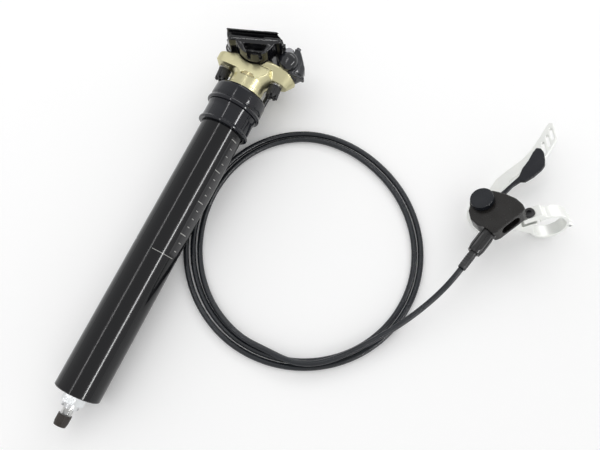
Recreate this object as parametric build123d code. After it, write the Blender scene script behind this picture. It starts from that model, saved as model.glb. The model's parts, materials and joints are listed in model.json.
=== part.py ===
# Dropper seatpost with its cable and remote lever, lying on a table as photographed.
# Row frame: millimetres, +Z up, +Y towards the saddle clamp, +X towards the remote lever.
# The origin is on the post axis at the bottom face of the lower collar.
# The post has a frame of its own: X across, Y along the post axis, Z from one rail to the other.
from build123d import *
from math import atan2, cos, degrees, hypot, pi, radians, sin, sqrt, tan
import os

# Fits and working values shared by many pieces
FIT = 0.05
RUN_GAP = 0.06
SOFT_GAP = 0.3
FREE_GAP = 0.6
OVERRUN = 1.0

# Lower tube
TUBE_R = 15.8
TUBE_WALL = 1.6
TUBE_LENGTH = 203.0
TUBE_IN_COLLAR = 12.0
RIM_CHAMFER = 0.6
MARK_FROM_RIM = 106.0
MARK_WIDTH = 1.0
MARK_DEPTH = 0.2
KEY_COUNT = 3
KEYWAY_WIDTH = 4.0
KEYWAY_DEPTH = 0.7

# Collars and seals
COLLAR_LENGTH = 16.0
COLLAR_R = TUBE_R + 2.2
COLLAR_LIP_R = TUBE_R + 3.3
COLLAR_LIP_LENGTH = 1.8
COLLAR_FLATS = 3
COLLAR_FLAT_STEP = 28.0
COLLAR_FLAT_DEPTH = 0.5
SEAL_HEAD_LENGTH = 15.0
SEAL_HEAD_R = TUBE_R + 4.0
RIDGE_R = TUBE_R + 4.8
RIDGE_LENGTH = 2.4
RIDGE_GROOVE_DEPTH = 1.0
RIDGE_GROOVE_LENGTH = 1.2
SEAL_HEAD_BEVEL = 1.6
WIPER_LENGTH = 6.0
WIPER_WALL = 2.6
WIPER_LIP = 0.4
FOAM_LENGTH = 4.0
FOAM_WALL = 3.6
BUSHING_LENGTH = 20.0

# Post tube and its inner parts
POST_OFF_TUBE = 1.2
POST_R = TUBE_R - TUBE_WALL - POST_OFF_TUBE
POST_WALL = 1.5
POST_SPIGOT_WALL = 1.0
TRAVEL = 125.0
SHORT_DROP = 40.0
PISTON_FLOAT = 3.0
PISTON_LENGTH = 13.0
PISTON_RING_R = 0.9
KEY_LENGTH = 12.0
KEY_PROUD = 0.5
LOWER_BUSHING_LENGTH = 14.0
INDEX_R = 8.0
INDEX_WALL = 1.4
INDEX_CLEAR_TOP = 14.0
INDEX_GROOVE_WIDTH = 3.4
INDEX_GROOVE_DEPTH = 0.8
BALL_R = 1.3
BALL_COUNT = 6
BALL_IN_SLEEVE = 3.6
LOCK_SLEEVE_LENGTH = 12.8
LOCK_SLEEVE_WALL = 0.9
LOCK_LAND = 2.0
LOCK_SPRING_WIRE_R = 0.5
LOCK_SPRING_LENGTH = 12.0
LOCK_SPRING_TURNS = 4
CAGE_WALL = 1.6
ROD_R = 1.1
ROD_PAD_LENGTH = 7.2
ROD_PAD_HALF_WIDTH = 1.4
ROD_PAD_THICKNESS = 1.2
ROD_ACROSS = 8.5
ROD_OFF_PLANE = -5.4

# Base plug, nuts and air valve
PLUG_LENGTH = 11.5
PLUG_RECESS = 1.5
PLUG_SEAL_R = 1.0
PLUG_SPIGOT = 6.0
BUMPER_LENGTH = 4.0
BUMPER_R = 11.0
STEM_BODY_R = 5.0
FOOT_NUT_FLATS = 14.0
FOOT_NUT_LENGTH = 8.0
LOCK_RING_R = 5.9
LOCK_RING_LENGTH = 3.2
LOCK_RING_NOTCHES = 6
LOCK_RING_NOTCH_WIDTH = 2.2
LOCK_RING_NOTCH_DEPTH = 1.6
STEM_R = 3.85
STEM_LENGTH = 8.4
STEM_BORE_R = 2.6
THREAD_PITCH = 0.8
THREAD_DEPTH = 0.3
CORE_LENGTH = 9.0
CORE_BORE_R = 1.0
PIN_R = 0.75
PIN_PRESS = 1.2
CAP_R = 4.6
CAP_LENGTH = 7.6
CAP_OVERLAP = 2.4
CAP_RIBS = 20
CAP_RIB_R = 0.35
CAP_TAPER = 0.5

# Post head
HEAD_FOOT = 32.2
NECK_R = 13.3
NECK_GROOVE_DEPTH = 0.35
NECK_GROOVE_LENGTH = 0.7
NECK_GROOVE_RISE = 1.0
NECK_RING_STEP = 1.7
SPIGOT_LENGTH = 12.0
HEAD_HALF_WIDTH = 12.0
HEAD_EDGE = 1.6
UNDERSIDE_HALF_WIDTH = 6.0
FULL_WIDTH_STATION = 57.0
REAR_CORNER = 5.0
SHOULDER_START = 41.5
SHOULDER_END = 48.0
SHOULDER_R = 17.2
REAR_END = -27.4
FRONT_END = 33.5
REAR_UNDERSIDE = 44.4
FRONT_UNDERSIDE = 48.0
REAR_TIP_TOP = 50.8
REAR_ROOT_TOP = 54.6
FRONT_ROOT_TOP = 58.8
FRONT_MID_TOP = 57.7
FRONT_TIP_TOP = 54.0
REAR_TIP_EDGE = 2.6
HEAD_CORNER = 1.2
SADDLE_ACROSS = -4.0
SADDLE_STATION = 66.5
SADDLE_R = 15.0

# Saddle clamp, in its own frame turned to lie along the rails
RAIL_ANGLE = 20.0
RAIL_R = 3.5
RAIL_SPACING = 44.0
RAIL_GRIP_GAP = 0.9
CRADLE_HALF_WIDTH = 25.5
CRADLE_FRONT = 21.5
CRADLE_REAR = 22.5
CRADLE_CORNER = 4.0
CRADLE_PLATE = 4.1
CRADLE_TAPER = 3.2
CRADLE_END_STEP = 1.2
CRADLE_GAP = 0.3
POCKET_TOP_HALF = 8.6
POCKET_BOTTOM_HALF = 4.6
POCKET_HEIGHT = 7.6
POCKET_DEPTH = 9.0
POCKET_EDGE = 1.4
CLAMP_PLATE = 3.6
CLAMP_FRONT = 19.5
CLAMP_FRONT_TOP = 14.2
CLAMP_REAR = 22.0
CLAMP_ARCH_RISE = 1.9
CLAMP_ARCH_HALF = 13.0
CLAMP_EAR_HALF_WIDTH = 5.5
FRONT_NUT_REACH = 22.5
REAR_NUT_REACH = 18.9
NUT_RISE = 0.5
NUT_R = 3.2
NUT_HALF_WIDTH = 5.0
EAR_WALL = 1.3
NUT_GAP = 1.0
BOLT_WAY_GAP = 0.5
BOLT_WAY_SWING = 1.0
BOLT_LEAN = 5.0
BOLT_R = 2.5
BOLT_HEAD_R = 4.6
BOLT_HEAD_LENGTH = 8.5
BOLT_TAIL = 1.0
BOLT_FLUTES = 18
BOLT_FLUTE_R = 0.3
BOLT_NOTCHES = 8
BOLT_NOTCH_WIDTH = 1.5
BOLT_NOTCH_DEPTH = 1.5
WASHER_R = 4.9
WASHER_LENGTH = 1.2
BOLT_HOLE_GAP = 0.4

# Actuator on the front of the head
CAM_ACROSS = 22.8
CAM_STATION = 62.8
CAM_PIN_R = 1.8
CAM_HUB_R = 3.3
CAM_ARM_HALF = 1.5
CAM_NOSE_R = 1.5
CAM_NOSE_STATION = 55.4
CAM_NOSE_GAP = 0.4
CAM_WIRE_REACH = 9.6
CAM_WIRE_END_R = 2.3
WIRE_OFF_ARC = 0.46
CABLE_OFF_PLANE = -15.6
CAM_SLOT_GAP = 0.5
ROD_SLOT_FLOOR = 46.2
WIRE_R = 0.6
NIPPLE_R = 1.2
WIRE_PULL = 4.24
HOUSING_BACK = 26.8
HOUSING_NEAR_BACK = 22.5
HOUSING_FRONT = 35.3
HOUSING_NEAR = 12.6
HOUSING_FAR = -6.6
HOUSING_FOOT_R = 5.5
HOUSING_FULL_STATION = 60.0
HOUSING_TOP = 75.6
HOUSING_SEAT_GAP = 0.1
CHEEK_INNER = 6.2
CHEEK_R = 7.4
DOME_R = 6.8
DOME_HEIGHT = 20.0
DOME_EDGE = 3.0
FLANGE_LENGTH = 2.0
FLANGE_REACH = 2.6
FLANGE_HALF_WIDTH = 3.0
FLANGE_OFF_PLANE = 8.7
COVER_SCREW_R = 1.7
COVER_SCREW_LENGTH = 1.6
COVER_SCREW_ACROSS = 24.2
COVER_SCREW_OFF_PLANE = 10.0
STOP_LENGTH = 5.0
STOP_STATION = 51.0
STOP_R = 3.4
SOCKET_DEPTH = 3.0
FERRULE_R = 2.6
FERRULE_LENGTH = 6.0

# Cable housing and its route on the table
CABLE_R = 2.0
LAY_GAP = 0.05

# Remote lever, in its own frame: X along the bar, Y away from the cable side, Z out through the round cap
LEVER_AT_X = 197.4
LEVER_AT_Y = 31.9
BAR_HEADING = -60.0
BAR_RISE = 20.0
LEVER_ROLL = 24.6
HUB_R = 14.6
MAIN_THICKNESS = 3.0
MAIN_REACH = 59.0
MAIN_SPREAD = 62.8
LAYER_GAP = 0.3
PADDLE_THICKNESS = 2.6
PADDLE_REACH = 38.4
PADDLE_SPREAD = 49.5
PADDLE_HUB_R = 9.0
BODY_FLOOR = 6.5
BODY_HEIGHT = 10.8
BODY_LONG = 27.2
BODY_WIDE = 24.4
BODY_HUB_R = 9.4
BODY_CORNER = 1.4
BODY_EDGE = 0.9
CAP_BUTTON_R = 8.2
CAP_BUTTON_HEIGHT = 4.4
PIVOT_R = 3.0
PIVOT_HEAD_R = 5.6
PIVOT_HEAD_HEIGHT = 2.4
SLOT_HALF = 0.9
LEVER_SPRING_R = 5.2
LEVER_SPRING_WIRE_R = 0.5
LEVER_SPRING_LENGTH = 4.8
LEVER_SPRING_TURNS = 3
SPRING_POCKET_GAP = 0.3
WINDOW_LENGTH = 14.5
WINDOW_WIDTH = 7.0
WINDOW_DEPTH = 7.5
BARREL_HEADING = 48.8
BARREL_AT_X = 22.5
BARREL_AT_Y = -2.7
BARREL_LAYER = 11.4
BARREL_LENGTH = 17.8
BARREL_R = 5.3
BARREL_TAIL_R = 4.5
BARREL_FLATS = 6
BARREL_GROOVE = 0.5
BARREL_NECK_R = 3.0
BARREL_NECK = 7.0
BARREL_BORE_R = 1.1
BARREL_SOCKET = 5.0
SLEEVE_R = 2.8
SLEEVE_LENGTH = 13.9
RING_ALONG = 12.15
RING_ACROSS = 36.5
BAR_R = 11.1
BAND_WALL = 2.3
BAND_HALF_WIDTH = 4.75
HINGE_ANGLE = -26.0
HINGE_R = 2.0
HINGE_PIN_R = 0.9
KNUCKLE_GAP = 0.25
BAND_SPLIT_GAP = 0.4
TAB_FLOOR = 12.6
TAB_TOP = 17.6
TAB_NEAR = -4.6
TAB_FAR = -15.6
LUG_TOP = 9.6
RISER_WIDTH = 5.2
RISER_FAR = -22.8
BAR_BOLT_ACROSS = -10.2
BAR_BOLT_R = 2.1
BAR_BOLT_HEAD_R = 3.5
BAR_BOLT_HEAD = 3.0
BAR_BOLT_GRIP = 1.8
LUG_SLOT_LENGTH = 2.8

# Values worked out from the ones above
tube_bore = TUBE_R - TUBE_WALL
post_bore = POST_R - POST_WALL
rim = -TUBE_LENGTH
seal_top = COLLAR_LENGTH + SEAL_HEAD_LENGTH
plug_bottom = rim + PLUG_RECESS
plug_top = plug_bottom + PLUG_LENGTH
bumper_top = plug_top + BUMPER_LENGTH
post_foot = bumper_top + PISTON_FLOAT
piston_top = post_foot + PISTON_LENGTH
sleeve_low = piston_top + LOCK_SPRING_LENGTH + 2 * LOCK_SPRING_WIRE_R
sleeve_high = sleeve_low + LOCK_SLEEVE_LENGTH
ball_station = sleeve_low + BALL_IN_SLEEVE
index_top = ball_station + TRAVEL + INDEX_CLEAR_TOP
cradle_r = SADDLE_R - CRADLE_GAP
cradle_foot = -RAIL_GRIP_GAP - CRADLE_PLATE
lip_station = SADDLE_STATION + cradle_foot * cos(radians(RAIL_ANGLE)) \
    - (CRADLE_REAR - CRADLE_CORNER) * sin(radians(RAIL_ANGLE))
post_tilt = degrees(atan2(CRADLE_HALF_WIDTH - TUBE_R, TUBE_LENGTH + lip_station))
table = -TUBE_R * cos(radians(post_tilt)) - TUBE_LENGTH * sin(radians(post_tilt))
CABLE_ACROSS = CAM_ACROSS - CAM_WIRE_REACH + WIRE_OFF_ARC
band_r = BAR_R + BAND_WALL

POST = Rot(post_tilt, 0, 0)
CRADLE = POST * Pos(SADDLE_ACROSS, SADDLE_STATION, 0) * Rot(0, 0, RAIL_ANGLE)
lever_turn = Rot(0, 0, BAR_HEADING) * Rot(0, -BAR_RISE, 0) * Rot(LEVER_ROLL, 0, 0)
lever_axes = [(lever_turn * Pos(axis)).position for axis in ((1, 0, 0), (0, 1, 0), (0, 0, 1))]
hub_height = HUB_R * sqrt(1 - lever_axes[2].Z ** 2) + LAY_GAP
LEVER = Pos(LEVER_AT_X, LEVER_AT_Y, table + hub_height) * lever_turn
ring_rise = band_r * cos(radians(BAR_RISE)) + BAND_HALF_WIDTH * sin(radians(BAR_RISE)) + LAY_GAP
ring_layer = (ring_rise - hub_height - RING_ALONG * lever_axes[0].Z - RING_ACROSS * lever_axes[1].Z) \
    / lever_axes[2].Z
RING = LEVER * Pos(RING_ALONG, RING_ACROSS, ring_layer)
BARREL = LEVER * Pos(BARREL_AT_X, BARREL_AT_Y, BARREL_LAYER) * Rot(0, 0, -90 - BARREL_HEADING)


# Helpers for turned and extruded shapes in the post's own frame
def rod(radius, low, high, across=0, off=0):
    """A round bar along the post axis, between two stations."""
    return Pos(across, (low + high) / 2, off) * Rot(90, 0, 0) * Cylinder(radius, high - low)


def tube(outer, inner, low, high, across=0, off=0):
    """A round tube along the post axis."""
    return rod(outer, low, high, across, off) - rod(inner, low - OVERRUN, high + OVERRUN, across, off)


def turned(*points):
    """A solid of revolution about the post axis, from points given as radius and station."""
    return revolve(make_face(Polyline(*points, close=True)), Axis.Y, 360)


def cross_rod(radius, low, high, across, station):
    """A round bar from rail side to rail side."""
    return Pos(across, station, (low + high) / 2) * Cylinder(radius, high - low)


def prism(points, low, high):
    """A flat outline in X and Y, raised between two heights."""
    return Pos(0, 0, low) * extrude(make_face(Polyline(*points, close=True)), high - low)


def around(shape, count, axis=(0, 1, 0), phase=0):
    """Copies of a shape spaced evenly about an axis through the local origin."""
    turn = [Rot(*(phase + 360 / count * k) * Vector(*axis)) for k in range(count)]
    return [t * shape for t in turn]


def ring_seal(centre_r, section_r, station):
    """A round sealing ring about the post axis."""
    return Pos(0, station, 0) * Rot(90, 0, 0) * Torus(centre_r, section_r)


# Paths of arcs, for coils and springs
def biarc(start, start_way, end, end_way):
    """Two arcs that leave one point along its direction and reach the next along its own."""
    gap, ways = end - start, start_way + end_way
    a = ways.dot(ways) - 4
    b = gap.dot(ways)
    reach = (b - sqrt(b * b - a * gap.dot(gap))) / a
    first, second = start + start_way * reach, end - end_way * reach
    joint = (first + second) * 0.5
    return [(start, first, joint), (joint, second, end)]


def arc(start, corner, end):
    """The arc that touches both sides of a corner, its sides being equally long."""
    half_turn = radians((corner - start).get_angle(end - corner) / 2)
    middle = (start + end) * 0.5
    top = middle + (corner - middle) * (cos(half_turn) / (1 + cos(half_turn)))
    return ThreePointArc(start, top, end)


def coil_arcs(points, ways):
    """The corners of all the arcs through a list of points with their directions."""
    arcs = []
    for k in range(len(points) - 1):
        arcs += biarc(points[k], ways[k], points[k + 1], ways[k + 1])
    return arcs


def sweep_round(path, radius):
    """A round section carried along a path from its start."""
    section = Plane(origin=path @ 0, z_dir=path % 0) * Circle(radius)
    return sweep(section, path=path)


def route(points, radius):
    """A tube of straight runs joined by arcs as large as their runs allow. Prints the arcs' radii."""
    at = [Vector(*p) for p in points]
    radii = []
    for k in range(1, len(at) - 1):
        before, after = at[k] - at[k - 1], at[k + 1] - at[k]
        half_turn = radians(before.get_angle(after) / 2)
        radii.append(0.45 * min(before.length, after.length) / tan(half_turn))
    line = FilletPolyline(*at, radius=radii)
    solid = sweep_round(line, radius)
    ideal = line.length * pi * radius ** 2
    print("route radii", [round(r, 1) for r in radii], "length", round(line.length, 1),
          "volume share", round(solid.volume / ideal, 4))
    return solid


def least_gap(arcs, radius, steps=12):
    """The least distance between the surfaces of turns that are not neighbours, on points."""
    line = []
    run = 0
    for start, corner, end in arcs:
        edge = arc(start, corner, end)
        for k in range(steps):
            line.append((edge @ (k / steps), run + edge.length * k / steps))
        run += edge.length
    apart = 8 * radius
    gaps = [(p - q).length for i, (p, s) in enumerate(line) for q, t in line[i + 1:] if t - s > apart]
    return min(gaps) - 2 * radius, run


# Lower tube, collars and seals
def lower_tube():
    top = TUBE_IN_COLLAR
    body = turned((tube_bore, rim), (TUBE_R - RIM_CHAMFER, rim), (TUBE_R, rim + RIM_CHAMFER),
                  (TUBE_R, top), (tube_bore, top))
    mark = rim + MARK_FROM_RIM
    body -= tube(TUBE_R + OVERRUN, TUBE_R - MARK_DEPTH, mark, mark + MARK_WIDTH)
    keyway = Pos(tube_bore, (plug_top + top) / 2, 0) \
        * Box(2 * KEYWAY_DEPTH, top - plug_top, KEYWAY_WIDTH)
    for cut in around(keyway, KEY_COUNT, phase=90):
        body -= cut
    return body


def lower_collar():
    outside = [(COLLAR_LIP_R, 0), (COLLAR_LIP_R, COLLAR_LIP_LENGTH), (COLLAR_R, COLLAR_LIP_LENGTH),
               (COLLAR_R, COLLAR_LENGTH)]
    inside = [(tube_bore, COLLAR_LENGTH), (tube_bore, TUBE_IN_COLLAR), (TUBE_R + FIT, TUBE_IN_COLLAR),
              (TUBE_R + FIT, 0)]
    body = turned(*outside, *inside)
    flat = Pos(2 * COLLAR_R - COLLAR_FLAT_DEPTH, (COLLAR_LIP_LENGTH + COLLAR_LENGTH) / 2, 0) \
        * Box(2 * COLLAR_R, COLLAR_LENGTH - COLLAR_LIP_LENGTH, 2 * COLLAR_R)
    for k in range(COLLAR_FLATS):
        for cut in around(flat, 2, phase=COLLAR_FLAT_STEP * (k - (COLLAR_FLATS - 1) / 2)):
            body -= cut
    return body


def seal_head():
    foot, top = COLLAR_LENGTH, seal_top
    groove = foot + RIDGE_LENGTH
    wiper_r = POST_R + WIPER_WALL + FIT
    foam_r = POST_R + FOAM_WALL + FIT
    step = top - WIPER_LENGTH
    return turned((foam_r, foot), (RIDGE_R, foot), (RIDGE_R, groove),
                  (SEAL_HEAD_R - RIDGE_GROOVE_DEPTH, groove + RIDGE_GROOVE_LENGTH / 2),
                  (SEAL_HEAD_R, groove + RIDGE_GROOVE_LENGTH), (SEAL_HEAD_R, top - SEAL_HEAD_BEVEL),
                  (SEAL_HEAD_R - SEAL_HEAD_BEVEL, top), (wiper_r, top), (wiper_r, step), (foam_r, step))


def wiper_seal():
    low, high = seal_top - WIPER_LENGTH, seal_top
    lip = POST_R + RUN_GAP
    back = lip + WIPER_LIP
    outer = POST_R + WIPER_WALL
    return turned((lip, low), (outer, low), (outer, high), (lip, high), (back, high - WIPER_LIP),
                  (back, low + WIPER_LENGTH / 2), (lip, low + WIPER_LENGTH / 3))


def foam_ring():
    low = seal_top - WIPER_LENGTH - FOAM_LENGTH
    return tube(POST_R + FOAM_WALL, POST_R + RUN_GAP, low, low + FOAM_LENGTH)


def upper_bushing():
    return tube(tube_bore - FIT, POST_R + RUN_GAP, TUBE_IN_COLLAR - BUSHING_LENGTH, TUBE_IN_COLLAR)


# Base plug and air valve
def base_plug():
    plug_r = tube_bore - FIT
    middle = (plug_bottom + plug_top) / 2
    body = rod(plug_r, plug_bottom, plug_top)
    body += rod(INDEX_R - INDEX_WALL - FIT, plug_top, plug_top + PLUG_SPIGOT)
    body -= rod(STEM_BODY_R + FIT, plug_bottom - OVERRUN, plug_top + PLUG_SPIGOT + OVERRUN)
    body -= tube(plug_r + OVERRUN, plug_r - 2 * PLUG_SEAL_R - FIT, middle - PLUG_SEAL_R - FIT,
                 middle + PLUG_SEAL_R + FIT)
    return body


def plug_seal():
    return ring_seal(tube_bore - FIT - PLUG_SEAL_R, PLUG_SEAL_R, (plug_bottom + plug_top) / 2)


def bumper():
    return tube(BUMPER_R, INDEX_R + FIT, plug_top, bumper_top)


nut_low = plug_bottom - FOOT_NUT_LENGTH
ring_low = nut_low - LOCK_RING_LENGTH
stem_low = ring_low - STEM_LENGTH
cap_high = stem_low + CAP_OVERLAP + CAP_OVERLAP / 2
cap_low = cap_high - CAP_LENGTH


def foot_nut():
    hexagon = Rot(90, 0, 0) * RegularPolygon(FOOT_NUT_FLATS / 2, 6, major_radius=False)
    body = Pos(0, plug_bottom, 0) * extrude(hexagon, FOOT_NUT_LENGTH, dir=(0, -1, 0))
    return body - rod(STEM_BODY_R + FIT, nut_low - OVERRUN, plug_bottom + OVERRUN)


def lock_ring():
    body = tube(LOCK_RING_R, STEM_BODY_R + FIT, ring_low, nut_low)
    notch = Pos(LOCK_RING_R, ring_low, 0) \
        * Box(LOCK_RING_R, 2 * LOCK_RING_NOTCH_DEPTH, LOCK_RING_NOTCH_WIDTH)
    for cut in around(notch, LOCK_RING_NOTCHES):
        body -= cut
    return body


def valve_stem():
    high = plug_top + PLUG_SPIGOT
    teeth = int(STEM_LENGTH / THREAD_PITCH) - 1
    outside = [(STEM_BODY_R, high), (STEM_BODY_R, ring_low), (STEM_R, ring_low)]
    for k in range(teeth):
        crest = ring_low - THREAD_PITCH * (k + 0.5)
        outside += [(STEM_R, crest), (STEM_R - THREAD_DEPTH, crest - THREAD_PITCH / 2)]
    outside += [(STEM_R, ring_low - THREAD_PITCH * (teeth + 0.5)), (STEM_R, stem_low)]
    core_r = STEM_BORE_R
    inside = [(core_r, stem_low), (core_r, stem_low + CORE_LENGTH), (CORE_BORE_R, stem_low + CORE_LENGTH),
              (CORE_BORE_R, high)]
    return turned(*outside, *inside)


def valve_core():
    low = stem_low + PIN_PRESS
    return tube(STEM_BORE_R - FIT, CORE_BORE_R, low, stem_low + CORE_LENGTH)


def valve_pin():
    low = stem_low + PIN_PRESS / 4
    return rod(PIN_R, low, stem_low + CORE_LENGTH)


def valve_cap():
    bore = STEM_R + FIT
    roof = CAP_OVERLAP / 2
    body = turned((0, cap_low), (CAP_R - CAP_TAPER, cap_low), (CAP_R, cap_low + CAP_LENGTH / 3),
                  (CAP_R, cap_high), (bore, cap_high), (bore, stem_low - FREE_GAP / 2),
                  (0, cap_low + roof))
    groove = rod(CAP_RIB_R, cap_low - OVERRUN, cap_high + OVERRUN, CAP_R)
    for cut in around(groove, CAP_RIBS):
        body -= cut
    return body


# Post tube and what rides inside it
def post_tube():
    spigot_r = NECK_R - (NECK_R - post_bore) / 2
    top = HEAD_FOOT + SPIGOT_LENGTH
    body = turned((post_bore, post_foot), (POST_R, post_foot), (POST_R, HEAD_FOOT), (spigot_r, HEAD_FOOT),
                  (spigot_r, top), (post_bore, top))
    low, high = post_foot + FREE_GAP, post_foot + FREE_GAP + LOWER_BUSHING_LENGTH
    return body - tube(POST_R + OVERRUN, POST_R - KEY_PROUD, low, high)


def lower_bushing():
    low = post_foot + FREE_GAP
    body = tube(tube_bore - RUN_GAP, POST_R - KEY_PROUD + FIT, low + FIT, low + LOWER_BUSHING_LENGTH - FIT)
    middle = low + LOWER_BUSHING_LENGTH / 2
    pocket = Pos(tube_bore, middle, 0) * Box(4 * TUBE_WALL, KEY_LENGTH + FIT, KEYWAY_WIDTH - FIT)
    for cut in around(pocket, KEY_COUNT, phase=90):
        body -= cut
    return body


def guide_keys():
    middle = post_foot + FREE_GAP + LOWER_BUSHING_LENGTH / 2
    inner, outer = POST_R - KEY_PROUD + FIT, tube_bore + KEY_PROUD
    key = Pos((inner + outer) / 2, middle, 0) * Box(outer - inner, KEY_LENGTH - FIT, KEYWAY_WIDTH - 4 * FIT)
    inside = rod(POST_R - KEY_PROUD, middle - KEY_LENGTH, middle + KEY_LENGTH)
    return Compound([cut - inside for cut in around(key, KEY_COUNT, phase=90)])


def piston():
    outer = post_bore - FIT
    body = tube(outer, INDEX_R + RUN_GAP, post_foot, piston_top)
    for station in piston_ring_stations():
        body -= tube(outer + OVERRUN, outer - 2 * PISTON_RING_R - FIT, station - PISTON_RING_R - FIT,
                     station + PISTON_RING_R + FIT)
    body += tube(cage_r, INDEX_R + RUN_GAP, piston_top, ball_station + 2 * BALL_R)
    hole = Pos((cage_r + INDEX_R) / 2, ball_station, 0) * Rot(0, 90, 0) \
        * Cylinder(BALL_R + FIT, 2 * CAGE_WALL)
    for cut in around(hole, BALL_COUNT):
        body -= cut
    return body


def piston_ring_stations():
    return [post_foot + PISTON_LENGTH * share for share in (0.3, 0.7)]


def piston_rings():
    centre = post_bore - FIT - PISTON_RING_R
    return Compound([ring_seal(centre, PISTON_RING_R, s) for s in piston_ring_stations()])


def index_tube():
    body = tube(INDEX_R, INDEX_R - INDEX_WALL, plug_top, index_top)
    for lift in (0, TRAVEL - SHORT_DROP, TRAVEL):
        middle = ball_station + lift
        body -= tube(INDEX_R + OVERRUN, INDEX_R - INDEX_GROOVE_DEPTH, middle - INDEX_GROOVE_WIDTH / 2,
                     middle + INDEX_GROOVE_WIDTH / 2)
    return body


# The lock is drawn just released: the balls are clear of the grooves, and the sleeve's tight end is below them
ball_circle = INDEX_R + RUN_GAP + BALL_R
sleeve_bore = ball_circle + BALL_R + RUN_GAP
land_bore = sleeve_bore - INDEX_GROOVE_DEPTH
sleeve_outer = post_bore - RUN_GAP
cage_r = INDEX_R + RUN_GAP + CAGE_WALL


def lock_balls():
    ball = Pos(ball_circle, ball_station, 0) * Sphere(BALL_R)
    return Compound(around(ball, BALL_COUNT))


def lock_sleeve():
    body = tube(sleeve_outer, sleeve_bore, sleeve_low + LOCK_LAND, sleeve_high)
    body += tube(sleeve_outer, land_bore, sleeve_low, sleeve_low + LOCK_LAND)
    roof = sleeve_high - LOCK_SLEEVE_WALL
    return body + tube(sleeve_outer, INDEX_R + FREE_GAP, roof, sleeve_high)


def spring(radius, wire_r, low, length, turns):
    """A coil spring about the local Y axis, its wire's centre line rising from one station by its length."""
    arcs = coil_arcs(*spring_points(radius, low, low + length, turns))
    gap, run = least_gap(arcs, wire_r)
    print("spring least gap to itself", round(gap, 2), "wire length", round(run, 1))
    return sweep_round(Wire([arc(*corners).edge() for corners in arcs]), wire_r)


def spring_points(radius, low, high, turns):
    """Quarter-turn points of a helix about the local Y axis, with their directions."""
    quarters = 4 * turns
    climb = (high - low) / quarters
    points, ways = [], []
    for k in range(quarters + 1):
        angle = pi / 2 * k
        points.append(Vector(radius * cos(angle), low + climb * k, radius * sin(angle)))
        ways.append(Vector(-radius * sin(angle) * pi / 2, climb, radius * cos(angle) * pi / 2).normalized())
    return points, ways


def lock_spring():
    return spring((post_bore + cage_r) / 2, LOCK_SPRING_WIRE_R, piston_top + LOCK_SPRING_WIRE_R,
                  LOCK_SPRING_LENGTH, LOCK_SPRING_TURNS)


rod_top = CAM_NOSE_STATION - CAM_NOSE_R - CAM_NOSE_GAP
pad_start = ROD_ACROSS - ROD_PAD_HALF_WIDTH


def control_rod():
    """The long thin rod that pushes the lock sleeve down, with a pad for the cam's nose on top."""
    pad = Pos(pad_start + ROD_PAD_LENGTH / 2, rod_top - ROD_PAD_THICKNESS / 2, ROD_OFF_PLANE) \
        * Box(ROD_PAD_LENGTH, ROD_PAD_THICKNESS, 2 * ROD_PAD_HALF_WIDTH)
    return rod(ROD_R, sleeve_high, rod_top - ROD_PAD_THICKNESS / 2, ROD_ACROSS, ROD_OFF_PLANE) + pad


# Head of the post
def bolt_frame(foot_x, foot_station):
    """A frame on a clamp bolt's axis: its origin where the bolt meets the arm, Y up the bolt."""
    return Pos(foot_x, foot_station, 0) * Rot(0, 0, BOLT_LEAN)


def bolt_foot(reach, foot_y):
    """Where a bolt's line through its nut crosses the underside of its arm, and its length from there."""
    angle = radians(RAIL_ANGLE)
    nut_x = SADDLE_ACROSS + reach * cos(angle) - NUT_RISE * sin(angle)
    nut_y = SADDLE_STATION + reach * sin(angle) + NUT_RISE * cos(angle)
    lean, rise = radians(BOLT_LEAN), nut_y - foot_y
    return nut_x + rise * tan(lean), foot_y, rise / cos(lean)


front_foot = bolt_foot(FRONT_NUT_REACH, FRONT_UNDERSIDE)
rear_foot = bolt_foot(-REAR_NUT_REACH, REAR_UNDERSIDE)


def head_outline():
    """The head seen from the rail side: arms, saddle arc and root, as one closed face."""
    left = SADDLE_ACROSS - sqrt(SADDLE_R ** 2 - (SADDLE_STATION - REAR_ROOT_TOP) ** 2)
    right = SADDLE_ACROSS + sqrt(SADDLE_R ** 2 - (SADDLE_STATION - FRONT_ROOT_TOP) ** 2)
    bottom = (SADDLE_ACROSS, SADDLE_STATION - SADDLE_R)
    front_mid = right + (FRONT_END - right) / 2
    points = [(left, REAR_ROOT_TOP), (REAR_END, REAR_TIP_TOP), (REAR_END, REAR_UNDERSIDE),
              (0, REAR_UNDERSIDE),
              (0, FRONT_UNDERSIDE), (FRONT_END, FRONT_UNDERSIDE), (FRONT_END, FRONT_TIP_TOP),
              (front_mid, FRONT_MID_TOP), (right, FRONT_ROOT_TOP)]
    edges = [REAR_TIP_EDGE if across == REAR_END else HEAD_CORNER for across, _ in points[1:-1]]
    lower = FilletPolyline(*points, radius=edges)
    saddle = ThreePointArc((right, FRONT_ROOT_TOP), bottom, (left, REAR_ROOT_TOP))
    return make_face(Wire([*lower.edges(), *saddle.edges()]))


def round_ended(start, end, off, foot_r, full_r, foot, full, top):
    """A bar along X with a round end, both of them narrowing towards their foot."""
    profile = [(foot_r, foot), (full_r, full), (full_r, top)]
    section = [(start, y, off + r) for r, y in profile] + [(start, y, off - r) for r, y in reversed(profile)]
    bar = extrude(make_face(Polyline(*section, close=True)), end - full_r - start, dir=(1, 0, 0))
    return bar + Pos(end - full_r, 0, off) * turned((0, foot), *profile, (0, top))


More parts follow.
